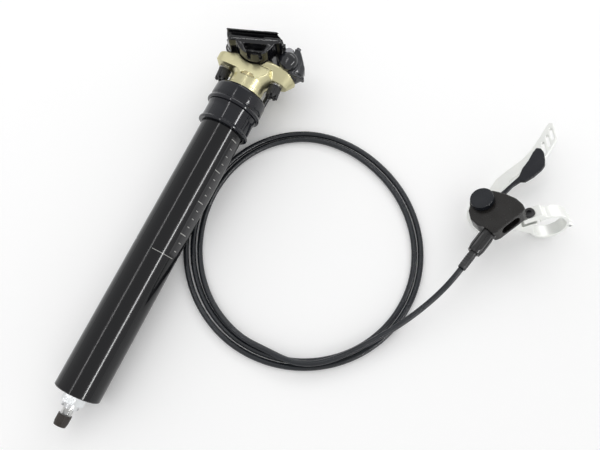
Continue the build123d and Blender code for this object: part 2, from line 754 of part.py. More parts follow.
def head():
    half = HEAD_HALF_WIDTH
    rear = Pos(REAR_END / 2, SADDLE_STATION / 2, 0) * Box(-REAR_END, SADDLE_STATION, 2 * half)
    rear = fillet(rear.edges().filter_by(Axis.Y).sort_by(Axis.X)[:2], REAR_CORNER)
    front = round_ended(0, FRONT_END, 0, UNDERSIDE_HALF_WIDTH, half, FRONT_UNDERSIDE, FULL_WIDTH_STATION,
                        SADDLE_STATION)
    block = extrude(head_outline(), half, both=True) & (rear + front)
    neck = turned((0, HEAD_FOOT), (NECK_R, HEAD_FOOT), (NECK_R, SHOULDER_START), (SHOULDER_R, SHOULDER_END),
                  (SHOULDER_R, REAR_ROOT_TOP - HEAD_EDGE), (0, REAR_ROOT_TOP - HEAD_EDGE))
    sides = Pos(0, SADDLE_STATION, 0) * Box(4 * SHOULDER_R, 2 * SADDLE_STATION, 2 * HEAD_HALF_WIDTH)
    root_limit = Pos(0, HEAD_FOOT, 0) * rod(SHOULDER_R, 0, SHOULDER_START - HEAD_FOOT) + sides
    neck = neck & root_limit
    body = block + (neck - cross_rod(SADDLE_R, -SHOULDER_R, SHOULDER_R, SADDLE_ACROSS, SADDLE_STATION))
    for k in range(2):
        low = HEAD_FOOT + NECK_GROOVE_RISE + NECK_RING_STEP * k
        body -= tube(NECK_R + OVERRUN, NECK_R - NECK_GROOVE_DEPTH, low, low + NECK_GROOVE_LENGTH)
    body -= rod(NECK_R - (NECK_R - post_bore) / 2 + FIT, HEAD_FOOT - OVERRUN, HEAD_FOOT + SPIGOT_LENGTH)
    for foot_x, foot_y, _ in (front_foot, rear_foot):
        seat = bolt_frame(foot_x, foot_y)
        body -= seat * rod(BOLT_R + BOLT_HOLE_GAP, -SADDLE_R, SADDLE_R)
        body -= seat * rod(WASHER_R + FIT, -SADDLE_R, 0)
    rod_way = rod(ROD_R + RUN_GAP, HEAD_FOOT, ROD_SLOT_FLOOR + OVERRUN, ROD_ACROSS, ROD_OFF_PLANE)
    return body - cam_slot() - rod_way


def cam_slot():
    """The room in the head for the rod's pad and the cam's nose, down to where the full turn brings it."""
    turn = WIRE_PULL / CAM_WIRE_REACH
    dx, dy = ROD_ACROSS - CAM_ACROSS, CAM_NOSE_STATION - CAM_STATION
    ex, ey = dx * cos(turn) - dy * sin(turn), dx * sin(turn) + dy * cos(turn)
    side = (CAM_NOSE_R + CAM_SLOT_GAP) / hypot(ex, ey)
    low = (CAM_ACROSS + ex - ey * side, CAM_STATION + ey + ex * side)
    high = (CAM_ACROSS - ey * side, CAM_STATION + ex * side)
    start, end = pad_start - CAM_SLOT_GAP, max(pad_start + ROD_PAD_LENGTH + CAM_SLOT_GAP, low[0])
    half = CAM_ARM_HALF + CAM_SLOT_GAP
    return prism([(start, ROD_SLOT_FLOOR), (end, ROD_SLOT_FLOOR),
                  (end, low[1]), high, (high[0], SADDLE_STATION),
                  (start, SADDLE_STATION)], ROD_OFF_PLANE - half, ROD_OFF_PLANE + half)


# Saddle clamp
def lower_cradle():
    """A plate with two rail grooves over a half-round belly that seats in the head."""
    top, foot = -RAIL_GRIP_GAP, cradle_foot
    rear, front, wide, corner = -CRADLE_REAR, CRADLE_FRONT, CRADLE_HALF_WIDTH, CRADLE_CORNER
    side = make_face(Polyline((rear, top), (front, top), (front - CRADLE_TAPER, foot),
                              (rear + CRADLE_TAPER, foot),
                              close=True))
    plate = extrude(side, wide, both=True)
    plan = [(rear, corner - wide), (rear + corner, -wide), (front - corner, -wide), (front, corner - wide),
            (front, wide - corner), (front - corner, wide), (rear + corner, wide), (rear, wide - corner)]
    plan_cut = Rot(90, 0, 0) * prism(plan, 0, SADDLE_R)
    plate = plate & plan_cut
    belly_half = wide - CRADLE_END_STEP
    belly = Cylinder(cradle_r, 2 * belly_half) & (Pos(0, foot / 2 - SADDLE_R, 0)
                                                  * Box(2 * SADDLE_R, 2 * SADDLE_R, 2 * wide))
    body = plate + belly
    pocket_top = foot - POCKET_EDGE
    pocket = [(-POCKET_TOP_HALF, pocket_top), (POCKET_TOP_HALF, pocket_top),
              (POCKET_BOTTOM_HALF, pocket_top - POCKET_HEIGHT), (-POCKET_BOTTOM_HALF, pocket_top - POCKET_HEIGHT)]
    for end in (belly_half - POCKET_DEPTH, -belly_half - OVERRUN):
        body -= prism(pocket, end, end + POCKET_DEPTH + OVERRUN)
    body -= rail_bars(RAIL_R)
    room = ear_r + FREE_GAP
    for reach in nut_places:
        away = room if reach > 0 else -room
        body -= Pos(reach, NUT_RISE, 0) * Cylinder(room, 2 * (CLAMP_EAR_HALF_WIDTH + FREE_GAP))
        body -= Pos(reach + away / 2, NUT_RISE - room, 0) \
            * Box(room, 2 * room, 2 * (CLAMP_EAR_HALF_WIDTH + FREE_GAP))
    for cut in bolt_ways():
        body -= cut
    return body


def rail_bars(radius):
    """Two round bars where the saddle rails lie, in the clamp's frame."""
    bar = Rot(0, 90, 0) * Cylinder(radius, 4 * CRADLE_REAR)
    return Pos(0, 0, RAIL_SPACING / 2) * bar + Pos(0, 0, -RAIL_SPACING / 2) * bar


def bolt_ways():
    """Slotted ways for both clamp bolts, in the clamp's frame, long enough for the whole tilt."""
    lean = BOLT_LEAN - RAIL_ANGLE
    radius = BOLT_R + BOLT_WAY_GAP
    way = Pos(0, -SADDLE_R / 2, 0) * Box(2 * BOLT_WAY_SWING, 3 * SADDLE_R, 2 * radius)
    for side in (-BOLT_WAY_SWING, BOLT_WAY_SWING):
        way += rod(radius, -2 * SADDLE_R, SADDLE_R, side)
    return [Pos(reach, NUT_RISE, 0) * Rot(0, 0, lean) * way for reach in nut_places]


nut_places = (-REAR_NUT_REACH, FRONT_NUT_REACH)
ear_r = NUT_R + NUT_GAP + EAR_WALL


def upper_clamp():
    """A bridge over both rails, arched at its sides, with an ear and a trough for each nut."""
    low, high = RAIL_GRIP_GAP, RAIL_GRIP_GAP + CLAMP_PLATE
    side = make_face(Polyline((-CLAMP_REAR, low), (CLAMP_FRONT, low), (CLAMP_FRONT_TOP, high),
                              (-CLAMP_REAR, high),
                              close=True))
    body = extrude(side, CRADLE_HALF_WIDTH - CRADLE_END_STEP, both=True)
    inner = RAIL_SPACING / 2 + RAIL_R / 2
    arch = make_face(Wire([*Polyline((-CLAMP_ARCH_HALF, low), (CLAMP_ARCH_HALF, low)).edges(),
                           *ThreePointArc((CLAMP_ARCH_HALF, low), (0, low + CLAMP_ARCH_RISE),
                                          (-CLAMP_ARCH_HALF, low)).edges()]))
    for start in (inner, -inner - RAIL_R):
        body -= Pos(0, 0, start) * extrude(arch, RAIL_R)
    room = 2 * (NUT_R + NUT_GAP)
    for reach in nut_places:
        body += Pos(reach, NUT_RISE, 0) * Cylinder(ear_r, 2 * CLAMP_EAR_HALF_WIDTH)
    for reach in nut_places:
        trough = 2 * CLAMP_EAR_HALF_WIDTH + OVERRUN
        body -= Pos(reach, NUT_RISE, 0) * Cylinder(room / 2, trough)
        body -= Pos(reach, NUT_RISE + ear_r, 0) * Box(room, 2 * ear_r, trough)
    body -= rail_bars(RAIL_R)
    for cut in bolt_ways():
        body -= cut
    return body


def clamp_nut(foot):
    """A round cross nut on its bolt, in the bolt's frame."""
    _, _, lift = foot
    return Pos(0, lift, 0) * Cylinder(NUT_R, 2 * NUT_HALF_WIDTH) \
        - rod(BOLT_R + RUN_GAP, lift - 2 * NUT_R, lift + 2 * NUT_R)


def clamp_bolt(foot):
    """A knurled bolt with a castellated end, in the bolt's frame."""
    _, _, lift = foot
    head_top = -WASHER_LENGTH
    head_low = head_top - BOLT_HEAD_LENGTH
    body = rod(BOLT_R, head_top - BOLT_HEAD_LENGTH / 2, lift + NUT_R + BOLT_TAIL)
    body += rod(BOLT_HEAD_R, head_low, head_top)
    flute = rod(BOLT_FLUTE_R, head_low + BOLT_NOTCH_DEPTH, head_top + OVERRUN, BOLT_HEAD_R)
    for cut in around(flute, BOLT_FLUTES):
        body -= cut
    notch = Pos(BOLT_HEAD_R, head_low, 0) * Box(BOLT_HEAD_R, 2 * BOLT_NOTCH_DEPTH, BOLT_NOTCH_WIDTH)
    for cut in around(notch, BOLT_NOTCHES):
        body -= cut
    return body - rod(BOLT_R - RAIL_GRIP_GAP, head_low - OVERRUN, head_low + 2 * BOLT_NOTCH_DEPTH)


def bolt_washers():
    washer = tube(WASHER_R, BOLT_R + BOLT_HOLE_GAP, -WASHER_LENGTH, 0)
    return Compound([bolt_frame(x, y) * washer for x, y, _ in (front_foot, rear_foot)])


# Actuator
def arm_top():
    """The space below the top of the head's front arm, with the housing's seat gap."""
    root = SADDLE_ACROSS + sqrt(SADDLE_R ** 2 - (SADDLE_STATION - FRONT_ROOT_TOP) ** 2)
    middle = root + (FRONT_END - root) / 2
    far = FRONT_END + SADDLE_R
    gap = HOUSING_SEAT_GAP
    return prism([(root - SADDLE_R, FRONT_ROOT_TOP + gap), (root, FRONT_ROOT_TOP + gap),
                  (middle, FRONT_MID_TOP + gap), (FRONT_END, FRONT_TIP_TOP + gap),
                  (far, FRONT_TIP_TOP + gap), (far, 0), (root - SADDLE_R, 0)], -2 * SADDLE_R, 2 * SADDLE_R)


housing_shares = [(0, 0), (0.76, 0), (1, 0.1), (1, 0.33), (0.92, 0.56), (0.43, 0.9), (0.26, 1), (0, 1)]


def actuator_housing():
    """A rounded block over the front arm, with a cheek that carries the cam pin and the round cap."""
    deep, tall = HOUSING_FRONT - HOUSING_NEAR_BACK, HOUSING_TOP - FRONT_TIP_TOP
    side = [(HOUSING_NEAR_BACK + deep * x, FRONT_TIP_TOP + tall * y) for x, y in housing_shares]
    block = prism(side, HOUSING_FAR, HOUSING_NEAR)
    block &= round_ended(HOUSING_NEAR_BACK, HOUSING_FRONT, (HOUSING_NEAR + HOUSING_FAR) / 2, HOUSING_FOOT_R,
                         (HOUSING_NEAR - HOUSING_FAR) / 2, FRONT_TIP_TOP, HOUSING_FULL_STATION, HOUSING_TOP)
    behind = Pos(HOUSING_BACK - SADDLE_R, SADDLE_STATION, CHEEK_INNER - SADDLE_R) \
        * Box(2 * SADDLE_R, 2 * SADDLE_R, 2 * SADDLE_R)
    cheek = cross_rod(CHEEK_R, CHEEK_INNER, HOUSING_NEAR, CAM_ACROSS, CAM_STATION)
    foot = FRONT_TIP_TOP + FLANGE_LENGTH
    flange_mid = (HOUSING_BACK + HOUSING_FRONT + FLANGE_REACH) / 2
    flange = Pos(flange_mid, foot + FLANGE_LENGTH / 2, FLANGE_OFF_PLANE) \
        * Box(HOUSING_FRONT + FLANGE_REACH - HOUSING_BACK, FLANGE_LENGTH, 2 * FLANGE_HALF_WIDTH)
    body = block - behind + cheek + flange - arm_top()
    return body - cross_rod(CAM_PIN_R + FIT, -SADDLE_R, HOUSING_NEAR - RIM_CHAMFER, CAM_ACROSS, CAM_STATION)


def spring_cap():
    low = HOUSING_NEAR
    body = cross_rod(DOME_R, low, DOME_HEIGHT, CAM_ACROSS, CAM_STATION)
    return fillet(body.edges().sort_by(Axis.Z)[-1], DOME_EDGE)


def cover_screw():
    across, off = COVER_SCREW_ACROSS, COVER_SCREW_OFF_PLANE
    top = HOUSING_TOP + COVER_SCREW_LENGTH
    return rod(COVER_SCREW_R, HOUSING_TOP, top, across, off) \
        - rod(COVER_SCREW_R / 2, top - COVER_SCREW_LENGTH / 2, top + OVERRUN, across, off)


def cam_pin():
    low = CABLE_OFF_PLANE - CAM_ARM_HALF - FREE_GAP
    high = HOUSING_NEAR - RIM_CHAMFER
    return cross_rod(CAM_PIN_R, low, high, CAM_ACROSS, CAM_STATION)


def arm(end_x, end_y, end_r, root_r, low, high):
    """A flat arm from the cam's hub to a round end, tapering from one radius to the other."""
    dx, dy = end_x - CAM_ACROSS, end_y - CAM_STATION
    reach = hypot(dx, dy)
    nx, ny = -dy / reach, dx / reach
    points = [(CAM_ACROSS + nx * root_r, CAM_STATION + ny * root_r),
              (end_x + nx * end_r, end_y + ny * end_r), (end_x - nx * end_r, end_y - ny * end_r),
              (CAM_ACROSS - nx * root_r, CAM_STATION - ny * root_r)]
    return prism(points, low, high) + cross_rod(end_r, low, high, end_x, end_y)


def cam_lever():
    near, far = ROD_OFF_PLANE + CAM_ARM_HALF, CABLE_OFF_PLANE - CAM_ARM_HALF
    body = cross_rod(CAM_HUB_R, far, near, CAM_ACROSS, CAM_STATION)
    body += arm(ROD_ACROSS, CAM_NOSE_STATION, CAM_NOSE_R, CAM_NOSE_R, near - 2 * CAM_ARM_HALF, near)
    eye_across = CAM_ACROSS - CAM_WIRE_REACH
    body += arm(eye_across, CAM_STATION, CAM_WIRE_END_R, CAM_HUB_R, far, far + 2 * CAM_ARM_HALF)
    body -= cross_rod(CAM_PIN_R + RUN_GAP, far - OVERRUN, near + OVERRUN, CAM_ACROSS, CAM_STATION)
    eye = NIPPLE_R + WIRE_OFF_ARC + 2 * FIT
    body -= cross_rod(eye, far - OVERRUN, far + 2 * CAM_ARM_HALF + OVERRUN, eye_across, CAM_STATION)
    swing = CAM_WIRE_END_R * sin(WIRE_PULL / CAM_WIRE_REACH)
    slit = 2 * (WIRE_R + WIRE_OFF_ARC + 2 * FIT)
    return body - Pos(eye_across, CAM_STATION - CAM_HUB_R, CABLE_OFF_PLANE) \
        * Box(slit + 2 * swing, 2 * CAM_HUB_R, slit)


stop_top = STOP_STATION + STOP_LENGTH
ferrule_high = STOP_STATION + SOCKET_DEPTH
ferrule_low = ferrule_high - FERRULE_LENGTH


def cable_stop():
    """A round stop for the cable's end, on a block against the table side of the head's front arm."""
    body = rod(STOP_R, STOP_STATION, stop_top, CABLE_ACROSS, CABLE_OFF_PLANE)
    block = -HEAD_HALF_WIDTH - CABLE_OFF_PLANE
    body += Pos(CABLE_ACROSS, (STOP_STATION + stop_top) / 2, (CABLE_OFF_PLANE - HEAD_HALF_WIDTH) / 2) \
        * Box(2 * STOP_R, STOP_LENGTH, block)
    body -= rod(FERRULE_R + FIT, STOP_STATION - OVERRUN, ferrule_high, CABLE_ACROSS, CABLE_OFF_PLANE)
    return body - rod(WIRE_R + 2 * FIT, STOP_STATION, stop_top + OVERRUN, CABLE_ACROSS, CABLE_OFF_PLANE)


def head_ferrule():
    return tube(FERRULE_R, WIRE_R + 2 * FIT, ferrule_low, ferrule_high, CABLE_ACROSS, CABLE_OFF_PLANE)


def head_wire():
    """The bare inner wire from inside the ferrule to its nipple in the cam's eye."""
    low = ferrule_low + WIRE_PULL + SOFT_GAP
    nipple = 2 * CAM_ARM_HALF
    far, near = CABLE_OFF_PLANE - nipple / 2, CABLE_OFF_PLANE + nipple / 2
    return rod(WIRE_R, low, CAM_STATION, CABLE_ACROSS, CABLE_OFF_PLANE) \
        + cross_rod(NIPPLE_R, far, near, CABLE_ACROSS, CAM_STATION)


# Cable route on the table: across, along and height of the centre line above the table
HEAD_LEAD = [(12.8, 34.5, 7.2), (11.8, 26.5, 5.1), (10.2, 16.5, 3.2), (7.6, 5.5, 2.45), (4.4, -6.5, 2.15)]
LOOP_STARTS = [(2.0, -41.0, 0), (88.0, -131.8, 0), (172.8, -48.0, 0), (80.0, 39.0, 0), (6.5, -38.8, 0),
               (88.5, -127.2, 0), (168.2, -48.2, 0), (79.3, 34.3, 0), (11.5, -37.8, 0), (90.0, -124.0, 4.6)]
TAIL = [(120.0, -122.6, 6.9), (131.5, -117.6, 7.0), (143.0, -107.6, 7.3), (154.0, -94.3, 7.9),
        (164.6, -79.9, 9.2), (174.2, -65.0, 10.8), (182.0, -50.2, 13.0), (187.6, -37.0, 16.4)]
STRAIGHT_END = 10.0
LOOP_WAYS = [(0, -1), (1, 0), (0, 1), (-1, 0)]
lay_height = table + CABLE_R + LAY_GAP


def above_table(point):
    """A route point with its height counted from the table."""
    return point[0], point[1], table + point[2]


def loop_point(point):
    """A coil point, whose height is counted from the table's layer of cable."""
    return point[0], point[1], lay_height + point[2]


def cable_lead():
    start = POST * Pos(CABLE_ACROSS, ferrule_low, CABLE_OFF_PLANE)
    straight = POST * Pos(CABLE_ACROSS, ferrule_low - 3 * CABLE_R, CABLE_OFF_PLANE)
    points = [start.position, straight.position, *[above_table(p) for p in HEAD_LEAD]]
    x, y, z = loop_point(LOOP_STARTS[0])
    return route([*points, (x, y + 2 * STRAIGHT_END, z), (x, y + STRAIGHT_END, z)], CABLE_R)


def cable_coil():
    points = [Vector(*loop_point(p)) for p in LOOP_STARTS]
    ways = [Vector(*LOOP_WAYS[k % 4], 0) for k in range(len(points))]
    arcs = coil_arcs(points, ways)
    gap, length = least_gap(arcs, CABLE_R)
    print("coil least gap to itself", round(gap, 2), "length", round(length, 1))
    first = Line(points[0] - ways[0] * STRAIGHT_END, points[0]).edge()
    last = Line(points[-1], points[-1] + ways[-1] * STRAIGHT_END).edge()
    return sweep_round(Wire([first, *[arc(*corners).edge() for corners in arcs], last]), CABLE_R)


def cable_tail():
    end = (BARREL * Pos(0, BARREL_LENGTH + SLEEVE_LENGTH, 0)).position
    before = (BARREL * Pos(0, BARREL_LENGTH + SLEEVE_LENGTH + 4 * CABLE_R, 0)).position
    x, y, z = loop_point(LOOP_STARTS[-1])
    starts = [(x + STRAIGHT_END, y, z), (x + 2 * STRAIGHT_END, y, z)]
    return route([*starts, *[above_table(p) for p in TAIL], before, end], CABLE_R)


# Remote lever: outlines in the lever's frame, along the bar and away from the cable side
def smooth_plate(points, low, high, edge):
    """A flat outline with its upright corners rounded, raised between two layers."""
    plate = prism(points, low, high)
    return fillet(plate.edges().filter_by(Axis.Z), edge)


main_outline_shares = [(0.24, 0.03), (0.42, 0.20), (0.50, 0.35), (0.58, 0.53), (0.67, 0.66), (0.82, 0.80),
                       (0.925, 0.89), (1.0, 0.96), (0.98, 1.0), (0.90, 1.0), (0.75, 0.98), (0.675, 0.94),
                       (0.525, 0.81), (0.45, 0.67), (0.41, 0.50), (0.34, 0.345), (0.21, 0.21), (0.07, 0.215)]
slot_shares = [((0.915, 0.955), (0.73, 0.935)), ((0.83, 0.89), (0.645, 0.87)), ((0.745, 0.82), (0.57, 0.80))]
paddle_outline_shares = [(0.17, 0.11), (0.28, 0.275), (0.385, 0.415), (0.495, 0.565), (0.65, 0.65),
                         (0.775, 0.76),
                         (0.935, 0.865), (1.0, 0.925), (0.96, 0.98), (0.85, 1.0), (0.69, 0.98), (0.57, 0.95),
                         (0.495, 0.89), (0.40, 0.755), (0.35, 0.62), (0.385, 0.56), (0.335, 0.445),
                         (0.23, 0.325), (0.10, 0.16)]
body_outline_shares = [(-0.345, 0), (-0.23, 0.35), (-0.045, 0.615), (0.215, 0.87), (0.44, 0.985),
                       (0.575, 1.0),
                       (0.675, 0.90), (0.99, 0.13), (1.0, -0.015), (0.70, -0.23), (0.63, -0.35),
                       (0.395, -0.475), (0.145, -0.465), (0, -0.385)]
MAIN_OUTLINE = [(-MAIN_REACH * x, MAIN_SPREAD * y) for x, y in main_outline_shares]
MAIN_SLOTS = [[(-MAIN_REACH * x, MAIN_SPREAD * y) for x, y in ends] for ends in slot_shares]
PADDLE_OUTLINE = [(-PADDLE_REACH * x, PADDLE_SPREAD * y) for x, y in paddle_outline_shares]
BODY_OUTLINE = [(BODY_LONG * x, BODY_WIDE * y) for x, y in body_outline_shares]
main_top = MAIN_THICKNESS
paddle_low = main_top + LAYER_GAP
paddle_top = paddle_low + PADDLE_THICKNESS
body_top = BODY_FLOOR + BODY_HEIGHT


def main_lever():
    body = smooth_plate(MAIN_OUTLINE, 0, main_top, RIM_CHAMFER)
    body += Pos(0, 0, main_top / 2) * Cylinder(HUB_R, main_top)
    for (x0, y0), (x1, y1) in MAIN_SLOTS:
        turn = degrees(atan2(y1 - y0, x1 - x0))
        slot = SlotCenterToCenter(hypot(x1 - x0, y1 - y0) - 2 * SLOT_HALF, 2 * SLOT_HALF)
        place = Pos((x0 + x1) / 2, (y0 + y1) / 2, -OVERRUN) * Rot(0, 0, turn)
        body -= place * extrude(slot, main_top + 2 * OVERRUN)
    return body - Cylinder(PIVOT_R + RUN_GAP, 4 * main_top)


def paddle_lever():
    middle = (paddle_low + paddle_top) / 2
    body = smooth_plate(PADDLE_OUTLINE, paddle_low, paddle_top, RIM_CHAMFER)
    body += Pos(0, 0, middle) * Cylinder(PADDLE_HUB_R, PADDLE_THICKNESS)
    return body - Pos(0, 0, middle) * Cylinder(PIVOT_R + RUN_GAP, 4 * PADDLE_THICKNESS)


def lever_body():
    body = smooth_plate(BODY_OUTLINE, BODY_FLOOR, body_top, BODY_CORNER)
    body += Pos(0, 0, (BODY_FLOOR + body_top) / 2) * Cylinder(BODY_HUB_R, BODY_HEIGHT)
    body = fillet(body.faces().sort_by(Axis.Z)[-1].edges(), BODY_EDGE)
    body -= window()
    body -= Pos(0, 0, (BODY_FLOOR + body_top) / 2) * Cylinder(PIVOT_R + FIT, 2 * BODY_HEIGHT)
    head_room = Cylinder(PIVOT_HEAD_R + FIT, PIVOT_HEAD_HEIGHT + FIT)
    body -= Pos(0, 0, body_top - PIVOT_HEAD_HEIGHT / 2) * head_room
    body -= spring_pocket()
    from_lever = LEVER.inverse() * BARREL
    body -= from_lever * rod(BARREL_NECK_R + RUN_GAP, -BARREL_NECK, OVERRUN)
    body -= from_lever * rod(BARREL_R + SOFT_GAP, 0, BARREL_LENGTH)
    body -= from_lever * rod(WIRE_R + 2 * FIT, -WINDOW_LENGTH - WIRE_PULL - SOFT_GAP, 0)
    return body


def window():
    """The oval window in the long side wall of the body."""
    (x0, y0), (x1, y1) = BODY_OUTLINE[7], BODY_OUTLINE[6]
    turn = degrees(atan2(y1 - y0, x1 - x0))
    oval = SlotOverall(WINDOW_LENGTH, WINDOW_WIDTH)
    cut = Rot(90, 0, 0) * extrude(oval, 2 * WINDOW_DEPTH, both=True)
    wall = Pos((x0 + x1) / 2, (y0 + y1) / 2, (BODY_FLOOR + body_top) / 2) * Rot(0, 0, turn)
    return wall * (cut & Box(2 * WINDOW_LENGTH, 2 * WINDOW_DEPTH, 2 * WINDOW_WIDTH))


def lever_spring():
    """The return spring round the pivot, in its ring-shaped pocket in the body's underside."""
    return Rot(90, 0, 0) * spring(LEVER_SPRING_R, LEVER_SPRING_WIRE_R, BODY_FLOOR + LEVER_SPRING_WIRE_R + FIT,
                                  LEVER_SPRING_LENGTH, LEVER_SPRING_TURNS)


def spring_pocket():
    depth = LEVER_SPRING_LENGTH + 2 * (LEVER_SPRING_WIRE_R + FIT)
    outer = LEVER_SPRING_R + LEVER_SPRING_WIRE_R + SPRING_POCKET_GAP
    inner = LEVER_SPRING_R - LEVER_SPRING_WIRE_R - SPRING_POCKET_GAP
    middle = Pos(0, 0, BODY_FLOOR + (depth - OVERRUN) / 2)
    return middle * Cylinder(outer, depth + OVERRUN) - middle * Cylinder(inner, depth + 2 * OVERRUN)


def pivot_bolt():
    top = body_top
    body = Pos(0, 0, (top + SOFT_GAP) / 2) * Cylinder(PIVOT_R, top - SOFT_GAP)
    return body + Pos(0, 0, top - PIVOT_HEAD_HEIGHT / 2) * Cylinder(PIVOT_HEAD_R, PIVOT_HEAD_HEIGHT)


def pivot_cap():
    body = Pos(0, 0, body_top + CAP_BUTTON_HEIGHT / 2) * Cylinder(CAP_BUTTON_R, CAP_BUTTON_HEIGHT)
    return fillet(body.edges().sort_by(Axis.Z)[-1], RIM_CHAMFER)


def lever_wire():
    """The bare inner wire from the barrel adjuster's end into the body."""
    return rod(WIRE_R, -WINDOW_LENGTH, BARREL_LENGTH - BARREL_SOCKET)


def barrel_adjuster():
    """A thumb barrel with flats, tapered at both ends, on a faceted neck. Y runs out along the cable."""
    shoulder = BARREL_LENGTH / 4
    knob = turned((0, RUN_GAP), (BARREL_TAIL_R, RUN_GAP), (BARREL_R, shoulder),
                  (BARREL_R, BARREL_LENGTH - shoulder), (BARREL_TAIL_R, BARREL_LENGTH), (0, BARREL_LENGTH))
    flat_at = BARREL_R * cos(pi / BARREL_FLATS)
    flat = Pos(flat_at + BARREL_R, BARREL_LENGTH / 2, 0) * Box(2 * BARREL_R, 2 * BARREL_LENGTH, 2 * BARREL_R)
    groove = Pos(flat_at, (BARREL_LENGTH + shoulder) / 2, 0) \
        * Box(2 * BARREL_GROOVE, BARREL_LENGTH, 2 * BARREL_GROOVE)
    for cut in around(flat, BARREL_FLATS) + around(groove, BARREL_FLATS):
        knob -= cut
    body = knob + rod(BARREL_NECK_R, -BARREL_NECK, BARREL_LENGTH / 4)
    body -= rod(WIRE_R + 2 * FIT, -BARREL_NECK - OVERRUN, BARREL_LENGTH)
    return body - rod(SLEEVE_R + RUN_GAP, BARREL_LENGTH - BARREL_SOCKET, BARREL_LENGTH + OVERRUN)


def cable_sleeve():
    """The slim end sleeve between the barrel's socket and the cable."""
    low, high = BARREL_LENGTH - BARREL_SOCKET + RUN_GAP, BARREL_LENGTH + SLEEVE_LENGTH
    return rod(SLEEVE_R, low, high) - rod(WIRE_R + 2 * FIT, low - OVERRUN, high + OVERRUN)


# Handlebar clamp, in the ring's frame: X along the bar, Y away from the cable side, Z out of the lever
def ring_bar(radius, low=-BAND_HALF_WIDTH, high=BAND_HALF_WIDTH):
    """A round bar along the handlebar's axis."""
    return Pos((low + high) / 2, 0, 0) * Rot(0, 90, 0) * Cylinder(radius, high - low)


def band_prism(points, low=-BAND_HALF_WIDTH, high=BAND_HALF_WIDTH):
    """An outline across the bar, given as Y and Z, as wide as the band."""
    face = make_face(Polyline(*[(0, y, z) for y, z in points], close=True))
    return Pos(low, 0, 0) * extrude(face, high - low, dir=(1, 0, 0))


hinge_y = (band_r + HINGE_R / 2) * cos(radians(HINGE_ANGLE))
hinge_z = (band_r + HINGE_R / 2) * sin(radians(HINGE_ANGLE))
riser_top = BODY_FLOOR - ring_layer
split_middle = (LUG_TOP + TAB_FLOOR) / 2


def upper_half():
    """The space that the strap's half of the band fills, above the line from hinge to split."""
    far, gap = 3 * band_r, BAND_SPLIT_GAP / 2
    return band_prism([(0, 0), (hinge_y * 3, hinge_z * 3 + gap), (far, far), (-far, far), (-far, far / 2)],
                      -far, far)


def knuckles(inner):
    """Hinge knuckles about the pin: the strap has the inner one, the base the outer two."""
    third = BAND_HALF_WIDTH / 2.5
    whole = Pos(0, hinge_y, hinge_z) * ring_bar(HINGE_R)
    middle = Pos(0, hinge_y, hinge_z) * ring_bar(HINGE_R + OVERRUN, -third, third)
    return (whole & middle) if inner else whole - Pos(0, hinge_y, hinge_z) * ring_bar(
        HINGE_R + OVERRUN, -third - KNUCKLE_GAP, third + KNUCKLE_GAP)


def hinge_room(inner):
    """The room that the other part's knuckles need."""
    third = BAND_HALF_WIDTH / 2.5 + KNUCKLE_GAP
    at = Pos(0, hinge_y, hinge_z)
    room = HINGE_R + KNUCKLE_GAP
    if inner:
        return at * ring_bar(room, third - 2 * KNUCKLE_GAP, 2 * BAND_HALF_WIDTH) \
            + at * ring_bar(room, -2 * BAND_HALF_WIDTH, 2 * KNUCKLE_GAP - third)
    return at * ring_bar(room, -third, third)


def clamp_strap():
    band = ring_bar(band_r) & upper_half()
    tab = band_prism([(TAB_NEAR, TAB_FLOOR), (TAB_NEAR, band_r - RIM_CHAMFER), (0, band_r),
                      (-BAND_WALL, TAB_TOP),
                      (TAB_FAR, TAB_TOP), (TAB_FAR, TAB_FLOOR)])
    body = band + tab
    body -= ring_bar(BAR_R, -2 * BAND_HALF_WIDTH, 2 * BAND_HALF_WIDTH)
    body -= band_prism([(-2 * band_r, -band_r), (-2 * band_r, TAB_FLOOR), (TAB_NEAR, TAB_FLOOR),
                        (TAB_NEAR - BAND_WALL, 0), (0, -band_r)], -band_r, band_r)
    body -= hinge_room(True)
    body += knuckles(True)
    body -= Pos(0, hinge_y, hinge_z) * ring_bar(HINGE_PIN_R + RUN_GAP, -band_r, band_r)
    body -= ring_bar(BAR_R, -2 * BAND_HALF_WIDTH, 2 * BAND_HALF_WIDTH)
    body -= Pos(0, BAR_BOLT_ACROSS, 0) * Cylinder(BAR_BOLT_R + FIT, 4 * band_r)
    seat = TAB_TOP - BAR_BOLT_HEAD / 2
    return body - Pos(0, BAR_BOLT_ACROSS, seat + band_r / 2) * Cylinder(BAR_BOLT_HEAD_R + FIT, band_r)


def clamp_base():
    band = ring_bar(band_r) - upper_half()
    lug = band_prism([(-BAR_R, -BAND_WALL * 2), (-band_r - BAND_WALL / 2, 0), (RISER_FAR, riser_top / 2),
                      (RISER_FAR, riser_top), (RISER_FAR + RISER_WIDTH, riser_top),
                      (RISER_FAR + RISER_WIDTH, LUG_TOP), (TAB_NEAR - BAND_WALL, LUG_TOP), (-BAR_R + BAND_WALL, 0)])
    body = band + lug
    body -= ring_bar(BAR_R, -2 * BAND_HALF_WIDTH, 2 * BAND_HALF_WIDTH)
    body -= hinge_room(False)
    body += knuckles(False)
    body -= ring_bar(BAR_R, -2 * BAND_HALF_WIDTH, 2 * BAND_HALF_WIDTH)
    body -= Pos(0, hinge_y, hinge_z) * ring_bar(HINGE_PIN_R + FIT, -band_r, band_r)
    slot_r = BAR_BOLT_R + SOFT_GAP
    slot = Pos(0, BAR_BOLT_ACROSS, LUG_TOP) * Cylinder(slot_r, 2 * (BAR_BOLT_GRIP + OVERRUN))
    slot += Pos(0, BAR_BOLT_ACROSS + LUG_SLOT_LENGTH, LUG_TOP) * Box(2 * slot_r, 2 * LUG_SLOT_LENGTH,
                                                                     2 * (BAR_BOLT_GRIP + OVERRUN))
    return body - slot


def hinge_pin():
    return Pos(0, hinge_y, hinge_z) * ring_bar(HINGE_PIN_R)


